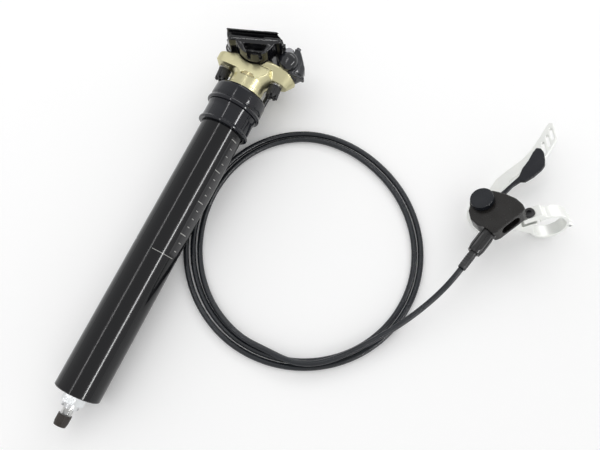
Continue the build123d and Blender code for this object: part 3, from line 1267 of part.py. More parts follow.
def bar_bolt():
    head_low = TAB_TOP - BAR_BOLT_HEAD / 2
    low = LUG_TOP - BAR_BOLT_GRIP
    body = Pos(0, BAR_BOLT_ACROSS, (low + head_low) / 2) * Cylinder(BAR_BOLT_R, head_low - low)
    body += Pos(0, BAR_BOLT_ACROSS, head_low + BAR_BOLT_HEAD / 2) * Cylinder(BAR_BOLT_HEAD_R, BAR_BOLT_HEAD)
    key = Pos(0, BAR_BOLT_ACROSS, head_low + BAR_BOLT_HEAD) \
        * extrude(RegularPolygon(BAR_BOLT_R - SOFT_GAP, 6), BAR_BOLT_HEAD / 2, both=True)
    return body - key


# Every node, with the frame that it is built in
front_bolt_frame = POST * bolt_frame(*front_foot[:2])
rear_bolt_frame = POST * bolt_frame(*rear_foot[:2])
ROW = Pos(0, 0, 0)
NODES = {
    "lower_tube": (POST, lower_tube), "lower_collar": (POST, lower_collar), "seal_head": (POST, seal_head),
    "wiper_seal": (POST, wiper_seal), "foam_ring": (POST, foam_ring), "upper_bushing": (POST, upper_bushing),
    "base_plug": (POST, base_plug), "plug_seal": (POST, plug_seal), "bump_stop": (POST, bumper),
    "foot_nut": (POST, foot_nut), "lock_ring": (POST, lock_ring), "valve_stem": (POST, valve_stem),
    "valve_core": (POST, valve_core), "valve_pin": (POST, valve_pin), "valve_cap": (POST, valve_cap),
    "index_tube": (POST, index_tube), "post_tube": (POST, post_tube), "lower_bushing": (POST, lower_bushing),
    "guide_keys": (POST, guide_keys), "piston": (POST, piston), "piston_rings": (POST, piston_rings),
    "lock_balls": (POST, lock_balls), "lock_sleeve": (POST, lock_sleeve), "lock_spring": (POST, lock_spring),
    "control_rod": (POST, control_rod), "post_head": (POST, head), "bolt_washers": (POST, bolt_washers),
    "lower_cradle": (CRADLE, lower_cradle), "upper_clamp": (CRADLE, upper_clamp),
    "front_clamp_bolt": (front_bolt_frame, lambda: clamp_bolt(front_foot)),
    "rear_clamp_bolt": (rear_bolt_frame, lambda: clamp_bolt(rear_foot)),
    "front_clamp_nut": (front_bolt_frame, lambda: clamp_nut(front_foot)),
    "rear_clamp_nut": (rear_bolt_frame, lambda: clamp_nut(rear_foot)),
    "actuator_housing": (POST, actuator_housing), "spring_cap": (POST, spring_cap),
    "cover_screw": (POST, cover_screw), "cam_pin": (POST, cam_pin), "cam_lever": (POST, cam_lever),
    "cable_stop": (POST, cable_stop), "head_ferrule": (POST, head_ferrule), "head_wire": (POST, head_wire),
    "cable_lead": (ROW, cable_lead), "cable_coil": (ROW, cable_coil), "cable_tail": (ROW, cable_tail),
    "cable_sleeve": (BARREL, cable_sleeve), "barrel_adjuster": (BARREL, barrel_adjuster),
    "lever_wire": (BARREL, lever_wire), "lever_body": (LEVER, lever_body), "pivot_bolt": (LEVER, pivot_bolt),
    "lever_spring": (LEVER, lever_spring),
    "pivot_cap": (LEVER, pivot_cap), "main_lever": (LEVER, main_lever), "paddle_lever": (LEVER, paddle_lever),
    "clamp_base": (RING, clamp_base), "clamp_strap": (RING, clamp_strap), "hinge_pin": (RING, hinge_pin),
    "bar_bolt": (RING, bar_bolt),
}

os.makedirs("parts", exist_ok=True)
for name, (frame, build) in NODES.items():
    shape = frame * build()
    export_step(shape, "parts/" + name + ".step")


def told(label, place):
    """Prints a place and its axes in the row frame, for the record."""
    at = place.position
    ways = [(Pos(at).inverse() * place * Pos(axis)).position for axis in ((1, 0, 0), (0, 1, 0), (0, 0, 1))]
    print(label, [round(v, 3) for v in at], [[round(v, 5) for v in way] for way in ways])


told("post", POST)
told("saddle", CRADLE)
told("rim", POST * Pos(0, rim, 0))
told("cam", POST * Pos(CAM_ACROSS, CAM_STATION, 0))
told("front bolt", front_bolt_frame)
told("rear bolt", rear_bolt_frame)
told("lever", LEVER)
told("barrel", BARREL)
told("ring", RING)
told("hinge", RING * Pos(0, hinge_y, hinge_z))
print("tilt", round(post_tilt, 4), "table", round(table, 3))
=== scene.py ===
"""Telescoping seatpost, its cable and its thumb lever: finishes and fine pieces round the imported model."""
import json
import math

import bmesh
import bpy
import numpy as np
from mathutils import Matrix


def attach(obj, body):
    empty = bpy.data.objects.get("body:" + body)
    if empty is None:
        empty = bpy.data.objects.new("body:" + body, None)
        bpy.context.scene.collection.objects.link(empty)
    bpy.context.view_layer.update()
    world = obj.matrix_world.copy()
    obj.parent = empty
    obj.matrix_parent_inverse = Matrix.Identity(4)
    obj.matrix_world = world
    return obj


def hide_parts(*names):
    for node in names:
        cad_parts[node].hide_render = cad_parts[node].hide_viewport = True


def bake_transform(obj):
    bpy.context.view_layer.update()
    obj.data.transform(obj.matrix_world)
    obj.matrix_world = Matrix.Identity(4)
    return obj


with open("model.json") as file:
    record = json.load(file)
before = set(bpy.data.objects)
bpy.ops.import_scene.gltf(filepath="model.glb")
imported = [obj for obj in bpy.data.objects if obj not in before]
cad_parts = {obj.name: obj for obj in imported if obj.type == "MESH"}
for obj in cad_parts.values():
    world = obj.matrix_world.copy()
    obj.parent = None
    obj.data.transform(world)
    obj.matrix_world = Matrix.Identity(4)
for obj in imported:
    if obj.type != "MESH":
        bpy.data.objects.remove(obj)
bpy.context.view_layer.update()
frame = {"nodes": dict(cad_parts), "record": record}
NODES = frame["nodes"]
SLOT_OF = {item["node"]: item["material_slot"] for item in frame["record"]["subparts"]}
BODY_OF = {node: body for body, held in frame["record"]["behaviour"]["bodies"].items() for node in held}

# Directions and places of the object, in metres
MM = 0.001
TILT = math.radians(2.1492)
ACROSS = np.array([1.0, 0, 0])
ALONG = np.array([0, math.cos(TILT), math.sin(TILT)])
UPWARD = np.array([0, -math.sin(TILT), math.cos(TILT)])
TUBE_R = 0.0158
TABLE = -0.023402
CABLE_R = 0.002
TABLE_GAP = 0.00005
LAY = TABLE + CABLE_R + TABLE_GAP
FERRULE_POINT = np.array([0.01366, 0.048551, -0.013789])
BARREL_POINT = np.array([0.200155, 0.012727, 0.000614])
BARREL_WAY = np.array([-0.22942, -0.97088, -0.06904])
SLEEVE_END = 0.0317

# Fineness of the meshes
SPLINE_STEPS = 10
HOSE_SIDES = 20
DOME_SIDES = 64
SLEEVE_SIDES = 40
COLLAR_SIDES = 128
OFF_AXIS = np.array([0.3, 0.2, 1.0])
CORNER_STEPS = 7
CORNER_LIMIT = 0.49
WELD = 0.000001
RELAX = 0.5


# Meshes
def linked(name, mesh):
    """A new object in the scene that holds the mesh."""
    obj = bpy.data.objects.new(name, mesh)
    bpy.context.scene.collection.objects.link(obj)
    return obj


def grid_mesh(name, points, closed_u=False, closed_v=False, caps=False):
    """A mesh from points in rows u and columns v. Each cell of the grid is one four-cornered face."""
    rows, columns = points.shape[:2]
    u = np.arange(rows if closed_u else rows - 1)
    v = np.arange(columns if closed_v else columns - 1)
    here, beside = u[:, None] * columns, ((u[:, None] + 1) % rows) * columns
    after = (v[None, :] + 1) % columns
    corners = [here + v[None, :], here + after, beside + after, beside + v[None, :]]
    faces = np.stack([corner.ravel() for corner in corners], axis=1).tolist()
    if caps:
        faces.append(np.arange(columns)[::-1].tolist())
        faces.append((np.arange(columns) + (rows - 1) * columns).tolist())
    mesh = bpy.data.meshes.new(name)
    mesh.from_pydata(points.reshape(-1, 3).tolist(), [], faces)
    work = bmesh.new()
    work.from_mesh(mesh)
    bmesh.ops.recalc_face_normals(work, faces=work.faces)
    work.to_mesh(mesh)
    work.free()
    mesh.polygons.foreach_set("use_smooth", np.ones(len(mesh.polygons), dtype=bool))
    mesh.update()
    return linked(name, mesh)


def spline_line(points):
    """Points along the NURBS spline whose control points are given, as Blender itself works them out."""
    curve = bpy.data.curves.new("route", "CURVE")
    curve.dimensions = "3D"
    spline = curve.splines.new("NURBS")
    spline.points.add(len(points) - 1)
    spline.points.foreach_set("co", np.c_[points, np.ones(len(points))].astype(np.float32).ravel())
    spline.order_u = 3
    spline.use_endpoint_u = True
    spline.resolution_u = SPLINE_STEPS
    holder = linked("route", curve)
    bpy.context.view_layer.update()
    mesh = bpy.data.meshes.new_from_object(holder)
    line = np.empty(len(mesh.vertices) * 3)
    mesh.vertices.foreach_get("co", line)
    bpy.data.objects.remove(holder)
    bpy.data.meshes.remove(mesh)
    return line.reshape(-1, 3)


def hose(name, line, radius):
    """A round tube about a line that is never upright: each point is the line's point plus radius times a
    unit circle between the sideways direction, tangent x up, and the rise, sideways x tangent."""
    tangent = np.gradient(line, axis=0)
    tangent /= np.linalg.norm(tangent, axis=1)[:, None]
    side = np.cross(tangent, [0, 0, 1.0])
    side /= np.linalg.norm(side, axis=1)[:, None]
    rise = np.cross(side, tangent)
    turn = np.linspace(0, 2 * math.pi, HOSE_SIDES, endpoint=False)
    ring = np.cos(turn)[None, :, None] * side[:, None, :] + np.sin(turn)[None, :, None] * rise[:, None, :]
    return grid_mesh(name, line[:, None, :] + radius * ring, closed_v=True, caps=True)


def turned(name, origin, axis, profile, sides, closed=False):
    """A surface of revolution: each profile point, a radius and a station, is carried round the axis."""
    axis = axis / np.linalg.norm(axis)
    first = np.cross(axis, OFF_AXIS)
    first /= np.linalg.norm(first)
    second = np.cross(axis, first)
    radius, station = profile.T
    turn = np.linspace(0, 2 * math.pi, sides, endpoint=False)
    ring = np.cos(turn)[:, None] * first + np.sin(turn)[:, None] * second
    points = origin + station[:, None, None] * axis + radius[:, None, None] * ring[None]
    return grid_mesh(name, points, closed_u=closed, closed_v=True, caps=not closed)


def rounded(corners, radius):
    """A closed profile with its corners cut to parabolas that reach at most the radius along each side."""
    corners = np.array(corners, float)
    before, after = np.roll(corners, 1, axis=0) - corners, np.roll(corners, -1, axis=0) - corners
    far_before, far_after = np.linalg.norm(before, axis=1), np.linalg.norm(after, axis=1)
    cut = np.minimum(radius, np.minimum(far_before, far_after) * CORNER_LIMIT)[:, None]
    start = (corners + before / far_before[:, None] * cut)[:, None]
    end = (corners + after / far_after[:, None] * cut)[:, None]
    t = np.linspace(0, 1, CORNER_STEPS)[None, :, None]
    return ((1 - t) ** 2 * start + 2 * t * (1 - t) * corners[:, None] + t ** 2 * end).reshape(-1, 2)


# Materials
NOISE_LOW, NOISE_HIGH = 0.3, 0.7
TINT_LOW, TINT_HIGH = 0.35, 0.7
LEAST_ROUGH = 0.02


class Paint:
    """A node material round one Principled shader, with helpers that add and join nodes."""

    def __init__(self, name, colour, rough, **sockets):
        self.material = bpy.data.materials.new(name)
        self.material.use_nodes = True
        self.material.diffuse_color = (*colour, 1)
        self.tree = self.material.node_tree
        self.shader = next(n for n in self.tree.nodes if n.type == "BSDF_PRINCIPLED")
        self.colour, self.rough = colour, rough
        self.put("Base Color", (*colour, 1))
        self.put("Roughness", rough)
        for key, value in sockets.items():
            self.put(key.replace("_", " "), value)
        self.place = self.node("ShaderNodeTexCoord").outputs["Object"]

    def put(self, socket, value):
        """Sets one of the shader's own values."""
        self.shader.inputs[socket].default_value = value

    def node(self, kind, **values):
        """A new node, with its settings or its inputs given by name."""
        made = self.tree.nodes.new(kind)
        for key, value in values.items():
            if hasattr(made, key):
                setattr(made, key, value)
            else:
                made.inputs[key].default_value = value
        return made

    def join(self, start, end):
        """Links an output to an input."""
        self.tree.links.new(start, end)

    def stretched(self, scale, turn=(0, 0, 0)):
        """The object's coordinates, turned and scaled."""
        mapping = self.node("ShaderNodeMapping", Rotation=turn, Scale=scale)
        self.join(self.place, mapping.inputs["Vector"])
        return mapping.outputs["Vector"]

    def noise(self, scale, detail, vector=None):
        """Noise with so many cells to a metre, and so many finer layers."""
        made = self.node("ShaderNodeTexNoise", Scale=scale, Detail=detail)
        self.join(self.place if vector is None else vector, made.inputs["Vector"])
        return made.outputs["Fac"]

    def math(self, operation, a, b=0.0, clamp=False):
        """One sum on two numbers or outputs."""
        made = self.node("ShaderNodeMath", operation=operation, use_clamp=clamp)
        for socket, value in zip(made.inputs, (a, b)):
            if isinstance(value, (int, float)):
                socket.default_value = value
            else:
                self.join(value, socket)
        return made.outputs[0]

    def product(self, first, *others):
        """All the values multiplied, which is where all of them are one."""
        for value in others:
            first = self.math("MULTIPLY", first, value)
        return first

    def within(self, value, middle, half):
        """One where the value lies less than half from the middle, and nought elsewhere."""
        distance = self.math("ABSOLUTE", self.math("SUBTRACT", value, middle))
        return self.math("LESS_THAN", distance, half)

    def spread(self, value, low, high, out_low, out_high):
        """A value mapped from one range to another, and held inside it."""
        made = self.node("ShaderNodeMapRange")
        for key, number in (("From Min", low), ("From Max", high), ("To Min", out_low), ("To Max", out_high)):
            made.inputs[key].default_value = number
        self.join(value, made.inputs["Value"])
        return made.outputs["Result"]

    def mix(self, share, first, second):
        """Two colours blended by a share."""
        made = self.node("ShaderNodeMix", data_type="RGBA")
        colours = [socket for socket in made.inputs if socket.type == "RGBA"]
        for socket, value in zip(colours, (first, second)):
            if isinstance(value, tuple):
                socket.default_value = (*value, 1)
            else:
                self.join(value, socket)
        self.join(share, made.inputs[0])
        return next(socket for socket in made.outputs if socket.type == "RGBA")

    def vary_rough(self, value, amount):
        """Lets the roughness go up and down by the amount."""
        least = max(self.rough - amount, LEAST_ROUGH)
        varied = self.spread(value, NOISE_LOW, NOISE_HIGH, least, self.rough + amount)
        self.join(varied, self.shader.inputs["Roughness"])

    def tint(self, value, other):
        """Blends the base colour towards another one by a value."""
        share = self.spread(value, TINT_LOW, TINT_HIGH, 0, 1)
        self.join(self.mix(share, self.colour, other), self.shader.inputs["Base Color"])

    def bump(self, value, depth):
        """Relief of that depth in metres from a value between 0 and 1."""
        made = self.node("ShaderNodeBump", Strength=1.0, Distance=depth)
        self.join(value, made.inputs["Height"])
        self.join(made.outputs["Normal"], self.shader.inputs["Normal"])


def lighter(colour, share):
    """The colour moved towards white by a share."""
    return tuple(c + (1 - c) * share for c in colour)


def darker(colour, share):
    """The colour moved towards black by a share."""
    return tuple(c * (1 - share) for c in colour)


COAT_GRAIN = 5200
COAT_DRAW_SCALE = 500
COAT_DRAWN_OUT = (1, 0.01, 1)
COAT_PATCH_GRAINS = 6
COAT_TONE_SCALE = 120
COAT_ROUGH_CHANGE = 0.02
COAT_TONE_CHANGE = 0.006
FAINT_RELIEF = 0.000001


def coated(name, colour, rough, specular, drawn=False, grain=COAT_GRAIN):
    """Hard black coat on metal: fine grain, with long faint draw lines where the piece is a drawn tube."""
    paint = Paint(name, colour, rough, Specular_IOR_Level=specular)
    if drawn:
        gloss = paint.noise(COAT_DRAW_SCALE, 2, paint.stretched(COAT_DRAWN_OUT))
    else:
        gloss = paint.noise(grain / COAT_PATCH_GRAINS, 2)
    paint.vary_rough(gloss, COAT_ROUGH_CHANGE)
    paint.tint(paint.noise(COAT_TONE_SCALE, 4), lighter(colour, COAT_TONE_CHANGE))
    paint.bump(paint.noise(grain, 2), FAINT_RELIEF)
    return paint


METAL_GRAIN = 3200
METAL_TONE_SCALE = 160
METAL_ROUGH_CHANGE = 0.07
METAL_TONE_CHANGE = 0.14
METAL_RELIEF = 0.000012
EVEN = (1, 1, 1)


def metal(name, colour, rough, brushed=EVEN, relief=METAL_RELIEF, patches=None, grain=METAL_GRAIN):
    """Bare or clear-coated metal: fine grain, stretched along the brushing, and soft patches of tone."""
    paint = Paint(name, colour, rough, Metallic=1.0)
    fine = paint.noise(grain, 3, paint.stretched(brushed))
    paint.vary_rough(fine, METAL_ROUGH_CHANGE)
    paint.tint(paint.noise(METAL_TONE_SCALE, 4), patches or darker(colour, METAL_TONE_CHANGE))
    paint.bump(fine, relief)
    return paint


PEBBLES = 1800
PEBBLE_RELIEF = 0.00001
MOULD_TONE_SCALE = 90
MOULD_ROUGH_CHANGE = 0.08
MOULD_TONE_CHANGE = 0.03
MOULD_SPECULAR = 0.4


def moulded(name, colour, rough, specular=MOULD_SPECULAR, texture=PEBBLES, relief=PEBBLE_RELIEF):
    """Moulded plastic or rubber: a pebbled skin with slight changes of gloss."""
    paint = Paint(name, colour, rough, Specular_IOR_Level=specular)
    skin = paint.noise(texture, 4)
    paint.vary_rough(skin, MOULD_ROUGH_CHANGE)
    paint.tint(paint.noise(MOULD_TONE_SCALE, 3), lighter(colour, MOULD_TONE_CHANGE))
    paint.bump(skin, relief)
    return paint


# The printed height scale: stations along the tube, and distances round it from its upper line
TUBE_BLACK = (0.003, 0.0033, 0.0045)
STRIP_GREY = (0.035, 0.035, 0.037)
PRINT_GREY = (0.42, 0.42, 0.4)
SCALE_FROM, SCALE_TO = -0.0965, -0.004
STRIP_MIDDLE, STRIP_HALF = 0.0182, 0.0042
TICK_PITCH = 0.00625
MID_PITCH = 0.5
TICK_MIDDLE, TICK_HALF = 0.0180, 0.0011
TICK_HALF_SHARE = 0.045
PITCHES_PER_LONG_TICK = 4
LONG_TICK_MIDDLE, LONG_TICK_HALF = 0.0170, 0.0028
LONG_TICK_HALF_SHARE = 0.0125
LIMIT_STATION, LIMIT_HALF_WIDTH = -0.0985, 0.0002
LIMIT_MIDDLE, LIMIT_HALF = 0.0105, 0.0085


def scale_tube():
    """The tube's black coat with the printed height scale: a greyer strip, plain ticks and a limit line."""
    paint = coated("tube coat", TUBE_BLACK, 0.13, 0.4, drawn=True)
    parts = paint.node("ShaderNodeSeparateXYZ")
    paint.join(paint.stretched(EVEN, (-TILT, 0, 0)), parts.inputs[0])
    across, station, rise = parts.outputs
    round_tube = paint.math("MULTIPLY", paint.math("ARCTAN2", across, rise), TUBE_R)
    inside = paint.within(station, (SCALE_FROM + SCALE_TO) / 2, (SCALE_TO - SCALE_FROM) / 2)
    strip = paint.product(inside, paint.within(round_tube, STRIP_MIDDLE, STRIP_HALF))
    step = paint.math("DIVIDE", paint.math("SUBTRACT", station, SCALE_FROM), TICK_PITCH)
    tick = paint.product(inside, paint.within(paint.math("FRACT", step), MID_PITCH, TICK_HALF_SHARE),
                         paint.within(round_tube, TICK_MIDDLE, TICK_HALF))
    long_step = paint.math("DIVIDE", paint.math("SUBTRACT", step, MID_PITCH), PITCHES_PER_LONG_TICK)
    long_near = paint.within(paint.math("FRACT", long_step), MID_PITCH, LONG_TICK_HALF_SHARE)
    long_tick = paint.product(inside, long_near,
                              paint.within(round_tube, LONG_TICK_MIDDLE, LONG_TICK_HALF))
    limit = paint.product(paint.within(station, LIMIT_STATION, LIMIT_HALF_WIDTH),
                          paint.within(round_tube, LIMIT_MIDDLE, LIMIT_HALF))
    marks = paint.math("MAXIMUM", paint.math("MAXIMUM", tick, long_tick), limit, clamp=True)
    base = paint.mix(strip, TUBE_BLACK, STRIP_GREY)
    paint.join(paint.mix(marks, base, PRINT_GREY), paint.shader.inputs["Base Color"])
    return paint


CABLE_BLACK = (0.007, 0.009, 0.013)
CABLE_WORN = (0.011, 0.014, 0.019)
CABLE_GLOSS_SCALE = 60
CABLE_TONE_SCALE = 45
CABLE_GRAIN = 2400
CABLE_ROUGH_CHANGE = 0.04


def cable_skin():
    """Blue-black plastic outer cable: smooth, with slow changes of gloss and tone."""
    paint = Paint("cable skin", CABLE_BLACK, 0.28, Specular_IOR_Level=0.5)
    paint.vary_rough(paint.noise(CABLE_GLOSS_SCALE, 2), CABLE_ROUGH_CHANGE)
    paint.tint(paint.noise(CABLE_TONE_SCALE, 3), CABLE_WORN)
    paint.bump(paint.noise(CABLE_GRAIN, 2), FAINT_RELIEF)
    return paint


# Brushing, as the scale of the grain along each direction
TURNED_FLANKS = (1, 0.06, 1)
THREADED = (1, 6, 1)
GROUND_ROUND = (1, 12, 1)
DRAWN_LONG = (1, 0.03, 1)
DRAWN_WIRE = (1, 0.3, 1)
BLADE_GRAIN = (1, 1, 0.2)


def finishes():
    """Every slot of the record with its material: name, colour, roughness and what sets it apart."""
    made = {
        "tube_black": scale_tube(),
        "collar_black": coated("collar coat", (0.005, 0.006, 0.010), 0.12, 0.45, grain=4200),
        "seal_rubber": moulded("seal rubber", (0.012, 0.012, 0.012), 0.6, 0.3, texture=2600),
        "foam_grey": moulded("oiled foam", (0.30, 0.30, 0.28), 0.9, 0.2, texture=1500, relief=0.0002),
        "bushing_plastic": moulded("bushing plastic", (0.06, 0.08, 0.06), 0.5),
        "key_brass": metal("key brass", (0.70, 0.50, 0.22), 0.3),
        "plug_aluminium": coated("plug coat", (0.03, 0.03, 0.035), 0.3, 0.5),
        "nut_silver": metal("nut silver", (0.78, 0.80, 0.81), 0.3, TURNED_FLANKS),
        "ring_silver": metal("ring silver", (0.72, 0.73, 0.74), 0.3, TURNED_FLANKS),
        "stem_nickel": metal("stem nickel", (0.80, 0.80, 0.79), 0.16, THREADED, grain=900),
        "valve_cap_plastic": moulded("valve cap plastic", (0.022, 0.014, 0.009), 0.4, 0.45, texture=1400),
        "index_steel": metal("ground steel", (0.52, 0.53, 0.55), 0.24, GROUND_ROUND),
        "ball_steel": metal("polished steel", (0.8, 0.8, 0.82), 0.08),
        "spring_steel": metal("spring wire", (0.42, 0.42, 0.44), 0.28),
        "post_gold": metal("post gold", (0.62, 0.55, 0.32), 0.22, DRAWN_LONG, relief=0.000004,
                           patches=(0.58, 0.51, 0.29)),
        "head_gold": metal("head champagne", (0.66, 0.62, 0.39), 0.34, relief=0.000004,
                           patches=(0.62, 0.58, 0.36), grain=2600),
        "clamp_black": coated("clamp coat", (0.004, 0.004, 0.006), 0.13, 0.6, grain=2600),
        "bolt_black": moulded("bolt coat", (0.010, 0.010, 0.012), 0.42, 0.45, texture=2600),
        "fitting_steel": metal("fitting steel", (0.36, 0.36, 0.38), 0.34),
        "housing_black": moulded("housing plastic", (0.010, 0.012, 0.017), 0.22, 0.5, texture=2000,
                                 relief=0.000003),
        "dome_black": coated("dome coat", (0.008, 0.009, 0.012), 0.13, 0.6),
        "screw_grey": metal("screw steel", (0.14, 0.14, 0.15), 0.34),
        "cam_aluminium": metal("cam metal", (0.46, 0.46, 0.48), 0.36),
        "ferrule_black": moulded("ferrule plastic", (0.012, 0.012, 0.014), 0.38, 0.45, texture=2200),
        "wire_steel": metal("inner wire", (0.6, 0.6, 0.62), 0.3, DRAWN_WIRE),
        "cable_black": cable_skin(),
        "barrel_black": coated("barrel coat", (0.014, 0.014, 0.015), 0.3, 0.5, grain=2400),
        "body_black": coated("body coat", (0.010, 0.009, 0.008), 0.26, 0.4, grain=2800),
        "pivot_steel": metal("pivot steel", (0.4, 0.4, 0.41), 0.3),
        "cap_black": coated("cap coat", (0.007, 0.009, 0.013), 0.13, 0.4),
        "lever_silver": metal("lever silver", (0.88, 0.89, 0.86), 0.5, BLADE_GRAIN, relief=0.000002,
                              patches=(0.84, 0.85, 0.83)),
        "paddle_black": coated("paddle coat", (0.005, 0.006, 0.010), 0.14, 0.4, grain=2400),
    }
    return {slot: paint.material for slot, paint in made.items()}


MATERIALS = finishes()


def finish_nodes():
    """Puts each CAD node's finish into its own material slots."""
    for node, obj in NODES.items():
        if not obj.material_slots:
            obj.data.materials.append(MATERIALS[SLOT_OF[node]])
        for held in obj.material_slots:
            held.material = MATERIALS[SLOT_OF[node]]


def finish_as(obj, slot):
    """Gives a new piece the finish of a slot."""
    obj.data.materials.clear()
    obj.data.materials.append(MATERIALS[slot])
    return obj


# The cable's route, in millimetres; heights are above the table, and in the loops above the cable's own lie
LEAD_ROUTE = [(12.8, 34.5, 7.2), (11.8, 26.5, 5.1), (10.2, 16.5, 3.2), (7.6, 5.5, 2.45), (4.4, -6.5, 2.15)]
LOOP_QUARTERS = [(2.0, -41.0, 0), (88.0, -131.8, 0), (172.8, -48.0, 0), (80.0, 39.0, 0), (6.5, -38.8, 0),
                 (88.5, -127.2, 0), (168.2, -48.2, 0), (79.3, 34.3, 0), (11.5, -37.8, 0), (90.0, -124.0, 4.6)]
TAIL_ROUTE = [(120.0, -122.6, 6.9), (131.5, -117.6, 7.0), (143.0, -107.6, 7.3), (154.0, -94.3, 7.9),
              (164.6, -79.9, 9.2), (174.2, -65.0, 10.8), (182.0, -50.2, 13.0), (187.6, -37.0, 16.4)]
CORNERS_PER_QUARTER = 4
QUARTER_TURN = math.pi / 2
STRAIGHT = 0.010
FERRULE_RUN = 3 * CABLE_R
SLEEVE_RUN = 4 * CABLE_R


def above(points, height):
    """Route points in millimetres as metres in the row frame, their height counted from the given one."""
    return np.array(points, float) * MM + [0, 0, height]


def coil_points():
    """Control points of the loops: each quarter is an oval arc's tangent corners, four to a quarter turn.
    Its centre takes x or y, by turns, from the quarter's end, and the rest from its start."""
    quarters = above(LOOP_QUARTERS, LAY)
    half = QUARTER_TURN / 2 / CORNERS_PER_QUARTER
    turn = (np.arange(CORNERS_PER_QUARTER) + 0.5) * 2 * half
    found = []
    for k, (start, end) in enumerate(zip(quarters[:-1], quarters[1:])):
        centre = start + (end - start) * np.roll(ACROSS, k % 2)
        from_centre = (start - centre) * np.cos(turn)[:, None] + (end - centre) * np.sin(turn)[:, None]
        arc = centre + from_centre / math.cos(half)
        arc[:, 2] = start[2] + (end[2] - start[2]) * (turn / QUARTER_TURN) ** 2
        found.append(arc)
    return np.concatenate(found)


def cable_piece(name, route, *stands_for):
    """A stretch of cable along its route's spline, and its line read back from the route's end."""
    line = spline_line(route)[::-1]
    piece = finish_as(hose(name, line, CABLE_R), "cable_black")
    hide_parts(*stands_for)
    return piece, line


def cables():
    """The stretch that follows the head, and the loops with the stretch up to the lever."""
    first, last = above(LOOP_QUARTERS, LAY)[[0, -1]]
    joint = first + [0, STRAIGHT, 0]
    lead = np.concatenate([[FERRULE_POINT, FERRULE_POINT - FERRULE_RUN * ALONG], above(LEAD_ROUTE, TABLE),
                           [first + [0, 2 * STRAIGHT, 0], joint]])
    piece, line = cable_piece("cable_at_head", lead, "cable_lead")
    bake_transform(piece)
    sleeve = BARREL_POINT + SLEEVE_END * BARREL_WAY
    loops = np.concatenate([[joint], coil_points(), [last + STRAIGHT * ACROSS, last + 2 * STRAIGHT * ACROSS],
                            above(TAIL_ROUTE, TABLE), [sleeve + SLEEVE_RUN * BARREL_WAY, sleeve]])
    piece, line = cable_piece("cable_loops", loops, "cable_coil", "cable_tail")
    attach(piece, "tube_and_remote")


# Turned pieces: the sleeve's rings in metres, the collars' corners (radius, station) in millimetres
RINGS_FROM, RINGS_TO = 0.0184, 0.0312
RING_SAMPLES = 97
RING_WAVES = 7
RING_LAND_SHARE = 0.14
RING_R, RING_RISE, RING_TIP_R = 0.00281, 0.00022, 0.00262
COLLAR_CORNERS = [(15.9, 0), (19.1, 0), (19.1, 1.9), (18.0, 2.6), (18.0, 12.6), (18.9, 16.0), (14.25, 16.0),
                  (14.25, 12.0), (15.9, 12.0)]
COLLAR_EDGE = 0.7
SEAL_CORNERS = [(16.7, 16.0), (20.3, 16.0), (20.6, 17.5), (20.0, 19.0), (19.0, 19.8), (19.7, 21.2),
                (19.8, 22.4), (19.6, 29.0), (18.3, 31.0), (15.7, 31.0), (15.7, 25.0), (16.7, 25.0)]
SEAL_EDGE = 1.0
DOME_STEPS = 24
DOME_FULLNESS = 0.8
SKIRT_SHARE = 0.35
DOME_TIP_SHARE = 0.02


def sleeve_rings():
    """Fine grip rings round the cable's end sleeve: the radius is a raised cosine between plain ends."""
    station = np.linspace(RINGS_FROM, RINGS_TO, RING_SAMPLES)
    share = (station - station[0]) / (station[-1] - station[0])
    swell = 0.5 - 0.5 * np.cos(2 * math.pi * RING_WAVES * share)
    ringed = (share > RING_LAND_SHARE) * (share < 1 - RING_LAND_SHARE)
    radius = RING_R + RING_RISE * swell * ringed
    radius[[0, -1]] = RING_TIP_R
    piece = turned("sleeve_rings", BARREL_POINT, BARREL_WAY, np.c_[radius, station], SLEEVE_SIDES)
    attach(finish_as(piece, "ferrule_black"), "tube_and_remote")


def collars():
    """Both collars turned from their profiles, with the soft beads and edges of the polished pieces."""
    for node, name, corners, edge in (("lower_collar", "tube_collar", COLLAR_CORNERS, COLLAR_EDGE),
                                      ("seal_head", "seal_collar", SEAL_CORNERS, SEAL_EDGE)):
        piece = turned(name, np.zeros(3), ALONG, rounded(corners, edge) * MM, COLLAR_SIDES, closed=True)
        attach(finish_as(piece, "collar_black"), "tube_and_remote")
        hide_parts(node)


def dome():
    """The spring's cap as a dome on a short skirt: radius times a power of the cosine of a quarter turn, and
    height times its sine. Its place, radius and height are those of the CAD cap."""
    points = np.array([vertex.co for vertex in NODES["spring_cap"].data.vertices])
    low, high = (points @ UPWARD).min(), (points @ UPWARD).max()
    middle = (points.min(axis=0) + points.max(axis=0)) / 2
    foot = middle + (low - middle @ UPWARD) * UPWARD
    radius, height = np.abs((points - middle) @ ACROSS).max(), high - low
    skirt = SKIRT_SHARE * height
    t = np.linspace(0, QUARTER_TURN, DOME_STEPS)[:-1]
    arch = np.c_[radius * np.cos(t) ** DOME_FULLNESS, skirt + (height - skirt) * np.sin(t)]
    profile = np.r_[[(radius, 0)], arch, [(radius * DOME_TIP_SHARE, height)]]
    piece = turned("cap_dome", foot, UPWARD, profile, DOME_SIDES)
    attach(finish_as(piece, "dome_black"), "post")
    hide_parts("spring_cap")


# Pieces with worn-round edges: CAD node, piece, cell size in millimetres and smoothing passes
WORN_PIECES = (
    ("lower_cradle", "rail_cradle", 0.5, 26),
    ("upper_clamp", "rail_clamp", 0.5, 22),
    ("post_head", "head_casting", 0.4, 6),
    ("actuator_housing", "actuator_cover", 0.4, 16),
    ("lever_body", "lever_housing", 0.3, 8),
    ("paddle_lever", "paddle", 0.3, 8),
    ("main_lever", "thumb_blade", 0.3, 3),
    ("clamp_strap", "bar_strap", 0.3, 3),
    ("clamp_base", "bar_seat", 0.3, 3),
    ("pivot_cap", "cap_disc", 0.25, 4),
)


